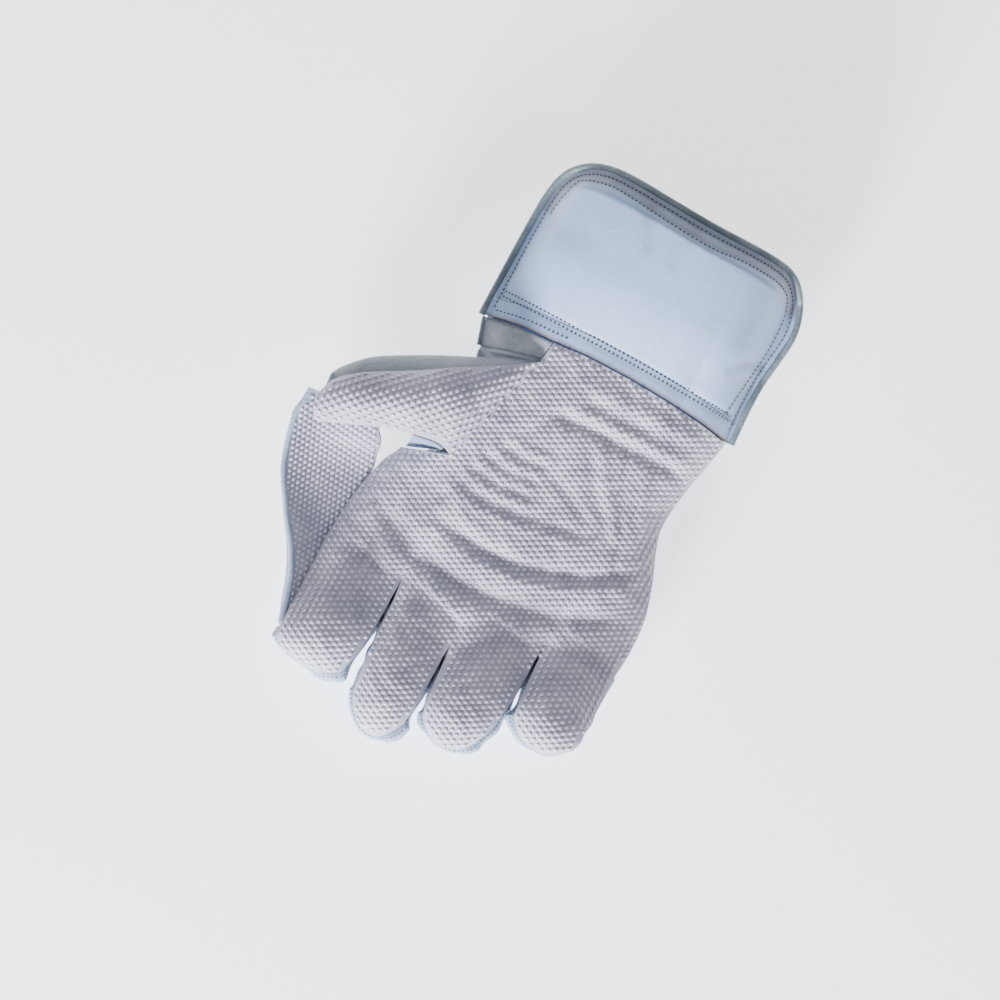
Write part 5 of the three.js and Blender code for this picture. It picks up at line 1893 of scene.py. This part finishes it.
@dataclass
class Cuff:
    """The padded gauntlet with its band, its back and its piping."""

    leather: FingerLeather
    width: float = 150.0
    length: float = 96.0
    mouth_rise: float = 35.0
    pad: float = 8.5
    band: float = 11.0
    piping_cover: float = 0.5
    piping_sides: int = 14
    overlap: float = 1.4
    row_inset: float = 1.2
    middle: float = -0.163
    groove: float = 0.55
    groove_width: float = 1.5
    # Painted shade on the pad: its top border, and its grooves and creases
    border_shade: float = 0.42
    border_soft: float = 4.0
    dip_shade: float = 0.25
    darkest: float = 0.6
    left_slope: float = 9.0
    right_slope: float = 7.0
    mouth_slope: float = 5.5
    base_slope: float = 2.4
    stuffing: float = 0.7
    stitch_lift: float = 0.1
    short_row: float = 5.0

    # The inner row of stitches round the pad, and the rows near the base, in the plan
    PAD_ROW = ((-83, 66), (-81, 76), (-76, 87), (-60, 90), (-45, 88), (-25, 85),
               (0, 83), (20, 85), (40, 85), (48, 82), (52, 74), (53, 60), (52, 45), (49, 25),
               (47.5, 13))
    BASE_ROWS = (((-86, 18.5), (-50, 16.5), (0, 14.5), (50, 12)),
                 ((-86, 15.5), (-50, 13.6), (0, 11.8), (50, 9.2)))

    def __post_init__(self) -> None:
        """Places the outline and reads the wrist line off the palm."""
        hand = self.leather.rubber.hand
        middle = self.middle * hand.palm_width
        size = np.array([self.width, self.length])
        self.left, self.top, self.right = [
            flat(np.array(side) * size + [middle, 0.0]) for side in (CUFF_LEFT, CUFF_TOP, CUFF_RIGHT)
        ]
        self.base = (self.left[0, 0], self.right[0, 0])
        row = self.leather.rubber.sheet.points[self.leather.rubber.sheet.part("palm")[0]]
        half = mix(self.base[0], row[0, 0], 0.5)
        corner = [self.base[0], self.left[0, 1], CUFF_SIDE_HEIGHT]
        between = [half, row[0, 1], mix(CUFF_SIDE_HEIGHT, row[0, 2], 0.66)]
        self.wrist = np.concatenate([[corner, between], row])

    def share(self, x: Array) -> Array:
        """Returns the share of the cuff's width at x."""
        return np.clip((x - self.base[0]) / (self.base[1] - self.base[0]), 0.0, 1.0)

    def wrist_at(self, x: Array) -> tuple[Array, Array]:
        """Returns the wrist line's y and z at x."""
        line = self.wrist
        return (smooth_line(line[:, 0], line[:, 1], x), smooth_line(line[:, 0], line[:, 2], x))

    def height(self, x: Array, y: Array) -> Array:
        """Returns the height of the cuff's front without its padding."""
        mouth = CUFF_SIDE_HEIGHT + self.mouth_rise * arch(self.share(x), 2.4)
        return mix(self.wrist_at(x)[1], mouth, smooth(y / self.length))

    def base_line(self, rise: float) -> Array:
        """Returns a line that runs across the cuff above the wrist seam."""
        x = np.linspace(*self.base, 41)
        return flat(np.stack([x, self.wrist_at(x)[0] + rise], axis=1))

    def plan(self, low: Array, rows: int, steps: int) -> Array:
        """Fills the cuff's outline above a line with points.

        Args:
            low: The line, from left to right.
            rows: Steps along the cuff.
            steps: Steps across.

        Returns:
            Rows of places, the mouth's row first.
        """
        sides = []
        for side, start in ((self.left, low[0]), (self.right, low[-1])):
            sides.append(np.concatenate([[start], side[side[:, 1] > start[1] + 2 * SEAM_GAP]]))
        return patch(low, self.top, *sides, rows, steps)

    def outline(self, inset: float) -> Array:
        """Returns the cuff's outline from its lower left corner round to the right one."""
        line = np.concatenate([self.left, self.top[1:-1], self.right[::-1]])
        return beside(resample(line, 260), -inset)

    def crease(self, x: Array, y: Array) -> Array:
        """Returns the height of seams and soft creases on the front of the cuff."""
        rows = [self.PAD_ROW, *self.BASE_ROWS, self.outline(self.row_inset)[::6, :2].tolist()]
        seams = [(self.groove_width, -self.groove, row) for row in rows]
        return relief(x, y, seams + CUFF_RIDGES)

    def build_front(self) -> BVHTree:
        """Makes the band and the pad.

        Returns:
            A tree that finds places on both.
        """
        band = self.build_band()
        pad = self.build_pad()
        shifted = [tuple(v + len(band.points) for v in face) for face in pad.faces]
        return probe(np.concatenate([band.points, pad.points]), band.faces + shifted)

    def build_band(self) -> Sheet:
        """Makes the band along the wrist and returns its sheet."""
        rows, steps = 8, 120
        low = self.base_line(WRIST_GAP)
        top = self.base_line(self.band)
        plan = patch(low, top, [low[0], top[0]], [low[-1], top[-1]], rows, steps)
        plan[..., 0] += self.overlap * np.linspace(-1.0, 1.0, steps + 1)
        x, y = plan[..., 0], plan[..., 1]
        plan[..., 2] = self.height(x, y) + 0.6 * self.crease(x, y)
        # Painted shadow: a thin dark line along the band's lower edge, at the wrist seam
        edge = np.arange(rows + 1.0)[::-1, None]
        shade = 0.9 * np.exp(-(edge / 0.9) ** 2) * np.ones((1, steps + 1))
        band = Sheet().grid(plan, shade=shade).join()
        skin("cuff_band_skin", band, CUFF_WALL, PALE, Slot.PALE, "cuff_band")
        return band

    def build_pad(self) -> Sheet:
        """Makes the stuffed pad and returns its sheet."""
        rows, steps = 100, 140
        plan = self.plan(self.base_line(self.band + SEAM_GAP), rows, steps)
        s = np.linspace(0.0, 1.0, steps + 1)[None]
        t = np.linspace(1.0, 0.0, rows + 1)[:, None]
        plan[..., 0] += self.overlap * (2 * s - 1)
        plan[..., 1] += self.overlap * t
        x, y = plan[..., 0], plan[..., 1]
        swell = self.pad * smooth(self.left_slope * s) * smooth(self.right_slope * (1 - s))
        swell = swell * smooth(self.mouth_slope * (1 - t))
        swell = swell * np.sin(math.pi / 2 * np.clip(self.base_slope * t, 0.0, 1.0))
        dip = self.crease(x, y)
        plan[..., 2] = self.height(x, y) + swell + dip
        # Painted shade: the border above the inner row of stitches, and the grooves and creases, are
        # darkened as the shade that falls there
        row = np.array(self.PAD_ROW[:-4], float)
        above = y - np.interp(x, row[:, 0], row[:, 1])
        border = smooth(above / self.border_soft + 0.5)
        shade = np.clip(self.border_shade * border - self.dip_shade * dip, 0.0, self.darkest)
        pad = Sheet().grid(plan, shade=shade).join()
        walls = np.zeros(len(pad.points))
        walls[pad.part()] = CUFF_WALL + self.stuffing * swell
        made = skin("cuff_front_padding", pad, walls, PALE, Slot.PALE, "cuff_front_pad")
        return pad

    def build_back(self) -> None:
        """Makes the tray behind the hand's wrist."""
        back = self.leather.back.sheet
        edge = back.points[back.part("palm")[0]]
        x = np.linspace(*self.base, 41)
        y = smooth_line(edge[:, 0], edge[:, 1], x) + WRIST_GAP
        plan = self.plan(flat(np.stack([x, y], axis=1)), 60, 90)
        plan[..., 2] = TRAY_HEIGHT * tray(self.share(plan[..., 0]))
        sheet = Sheet().grid(plan, True).join()
        skin("cuff_back_skin", sheet, CUFF_WALL, PALE, Slot.PALE, "cuff_back")

    def build_piping(self) -> None:
        """Makes the piping round the front and along the mouth of the back."""
        reach = PIPING_RADIUS + SEAM_GAP
        line = self.outline(0.0)
        line[:, 2] = self.height(line[:, 0], line[:, 1]) - CUFF_WALL / 2
        cord("cuff_front_cord", beside(line, reach + self.piping_cover),
             PIPING_RADIUS - self.piping_cover, CORD, ["cuff_front_piping"], self.piping_sides)
        line = resample(self.top[1:-1], 110)
        line[:, 2] = reach + TRAY_HEIGHT * tray(self.share(line[:, 0]))
        cord("cuff_back_cord", beside(line, reach), PIPING_RADIUS, CORD, ["cuff_back_piping"],
             self.piping_sides)

    def build(self) -> None:
        """Makes the cuff and sews it."""
        tree = self.build_front()
        self.build_back()
        self.build_piping()
        low = self.base_line(self.short_row)
        left = low[(low[:, 0] > -86) & (low[:, 0] < -46)]
        rows = [self.outline(self.row_inset)[6:-6], self.PAD_ROW, *self.BASE_ROWS, left]
        Thread().sew("cuff_stitches", [lay(tree, row, self.stitch_lift) for row in rows], Slot.PALE)


@dataclass
class Gussets:
    """The grey leather beside the wrist, and the leather in the crotch of the thumb."""

    cuff: Cuff
    horn: ThumbLeather
    crotch_start: float = 0.3
    crotch_sag: float = 3.0
    hem_out: float = 1.3
    hem_radius: float = 1.15

    def build(self) -> None:
        """Makes both pieces of leather."""
        self.build_wrist()
        self.build_crotch()

    def build_wrist(self) -> None:
        """Makes the wrist gusset with its bound edge."""
        rows, steps = 24, 36
        x = np.linspace(self.cuff.wrist[2, 0] - WRIST_GAP, self.cuff.base[0], 5)
        y, z = self.cuff.wrist_at(x)
        top = resample(np.stack([x, y - SEAM_GAP, z], axis=1), steps)
        low = resample(self.horn.gusset_low, steps)
        low[:, 1] += 2 * WRIST_GAP
        v = np.linspace(0.0, 1.0, rows + 1)[:, None]
        s = np.linspace(0.0, 1.0, steps + 1)[::-1][None]
        points = mix(top[None], low[None], v[..., None])[:, ::-1]
        puff = np.sin(math.pi * v) * np.sin(math.pi * s)
        points[..., 2] += 1.0 * puff * np.sin(9 * v + 5 * s) - 0.8 * puff
        edge = np.minimum(np.arange(rows + 1), np.arange(rows + 1)[::-1])[:, None]
        shade = 0.7 * np.exp(-(edge / 2.2) ** 2) * np.ones((1, steps + 1))
        sheet = Sheet().grid(points, shade=shade).join()
        skin("wrist_gusset_skin", sheet, LEATHER_WALL, SUEDE, Slot.GREY, "wrist_gusset")
        hem = resample(points[:, 0], 40)
        hem[:, 0] -= self.hem_out
        cord("wrist_gusset_hem", hem, self.hem_radius, CORD)

    def build_crotch(self) -> None:
        """Makes the leather at the bottom of the thumb's crotch."""
        steps = 60
        leather = self.horn.leather
        step = self.horn.thumb.rows // 10
        thumb_line = resample(self.horn.low_edge[:4 * step + 1], steps)
        outer = leather.rubber.sheet.part("outer")[0, ::-1]
        index_line = resample(leather.seat_rubber(outer), steps)
        first = int(round(steps * self.crotch_start))
        near = thumb_line[first:] - [0.0, WRIST_GAP + LEATHER_WALL + SEAM_GAP, LEATHER_WALL]
        far = index_line[first:] + [0.0, 2 * SEAM_GAP + leather.side_swell, -LEATHER_WALL]
        share = np.linspace(self.crotch_start, 1.0, len(near))[:, None]
        s = np.linspace(0.0, 1.0, 13)[None]
        rows = near[:, None] + (far - near)[:, None] * s[..., None]
        rows[..., 2] -= self.crotch_sag * arch(s) * share
        sheet = Sheet().grid(rows).join()
        skin("thumb_crotch_skin", sheet, LEATHER_WALL, FINGER, Slot.GREY, "thumb_crotch")


# The studio


@dataclass
class Studio:
    """Floor, camera and lights. Sizes are in metres."""

    floor_size: float = 6.0
    view_width: float = 0.53
    lens: float = 85.0
    turn: float = 26.5
    aim: tuple[float, float, float] = (0.0086, -0.02, 0.04)
    key_power: float = 140.0
    fill_power: float = 5.0
    floor_glow: float = 1.6
    sky_strength: float = 0.46

    def build_floor(self) -> None:
        """Lays the pale floor."""
        half = self.floor_size / 2
        mesh = bpy.data.meshes.new("floor")
        corners = [(-half, -half, 0), (half, -half, 0), (half, half, 0), (-half, half, 0)]
        mesh.from_pydata(corners, [], [(0, 1, 2, 3)])
        floor = link("floor", mesh)
        made = bpy.data.materials.new("pale_floor")
        made.use_nodes = True
        shader = made.node_tree.nodes["Principled BSDF"]
        for name, value in (
            ("Base Color", (0.93, 0.93, 0.93, 1.0)), ("Roughness", 0.9),
            ("Specular IOR Level", 0.1), ("Emission Color", (1.0, 1.0, 1.0, 1.0)),
            ("Emission Strength", self.floor_glow),
        ):
            shader.inputs[name].default_value = value
        floor.data.materials.append(made)
        floor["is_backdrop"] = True

    def build_camera(self) -> None:
        """Hangs the camera straight above, turned as in the photograph."""
        data = bpy.data.cameras.new("camera")
        data.lens = self.lens
        camera = link("camera", data)
        distance = self.view_width * self.lens / data.sensor_width
        camera.location = (self.aim[0], self.aim[1], self.aim[2] + distance)
        camera.rotation_euler = (0.0, 0.0, math.radians(self.turn))
        bpy.context.scene.camera = camera

    def light(self, name: str, place: Sequence[float], size: float, power: float,
              tint: tuple[float, float, float] = (1.0, 1.0, 1.0)) -> None:
        """Hangs one soft light that points at the glove.

        Args:
            name: The light's name.
            place: Where it hangs.
            size: Its width.
            power: Its power in watts.
            tint: Its colour.
        """
        data = bpy.data.lights.new(name, "AREA")
        data.shape = "DISK"
        data.size = size
        data.energy = power
        data.color = tint
        made = link(name, data)
        made.location = place
        toward = Vector(self.aim) - Vector(place)
        made.rotation_euler = toward.to_track_quat("-Z", "Y").to_euler()

    def build(self) -> None:
        """Builds the studio."""
        self.build_floor()
        self.build_camera()
        self.light("key", (-0.1, -1.85, 0.62), 0.6, self.key_power, (0.92, 0.93, 1.0))
        self.light("fill", (-0.9, 0.5, 1.6), 1.2, self.fill_power)
        world = bpy.data.worlds.new("studio")
        bpy.context.scene.world = world
        world.use_nodes = True
        sky = world.node_tree.nodes["Background"]
        sky.inputs["Color"].default_value = (0.92, 0.95, 1.0, 1.0)
        sky.inputs["Strength"].default_value = self.sky_strength


def corners(box: Iterable[Iterable[float]]) -> list[list[float]]:
    """Returns a box's two corners as plain lists."""
    return [[float(value) for value in corner] for corner in box]


def main() -> None:
    """Builds the glove and its studio."""
    logging.basicConfig(level=logging.INFO, format="%(name)s %(message)s")
    cad_box = corners(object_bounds())
    hand = Hand()
    thumb = Thumb()
    rubber = Rubber(hand, thumb).shape()
    back = Back(hand).shape()
    rubber.build()
    back.build()
    leather = FingerLeather(rubber, back)
    leather.build()
    horn = ThumbLeather(leather, thumb)
    horn.build()
    web_seam = Web(leather).build()
    cuff = Cuff(leather)
    cuff.build()
    Gussets(cuff, horn).build()
    Thread(2.3, 1.4, 0.5).sew("finger_stitches", leather.seams, Slot.PALE)
    Thread(2.3, 1.6, 0.4).sew("web_stitches", [web_seam], Slot.RUBBER)
    Studio().build()
    {"cad": cad_box, "visual": corners(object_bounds())}


if __name__ == "__main__":
    main()
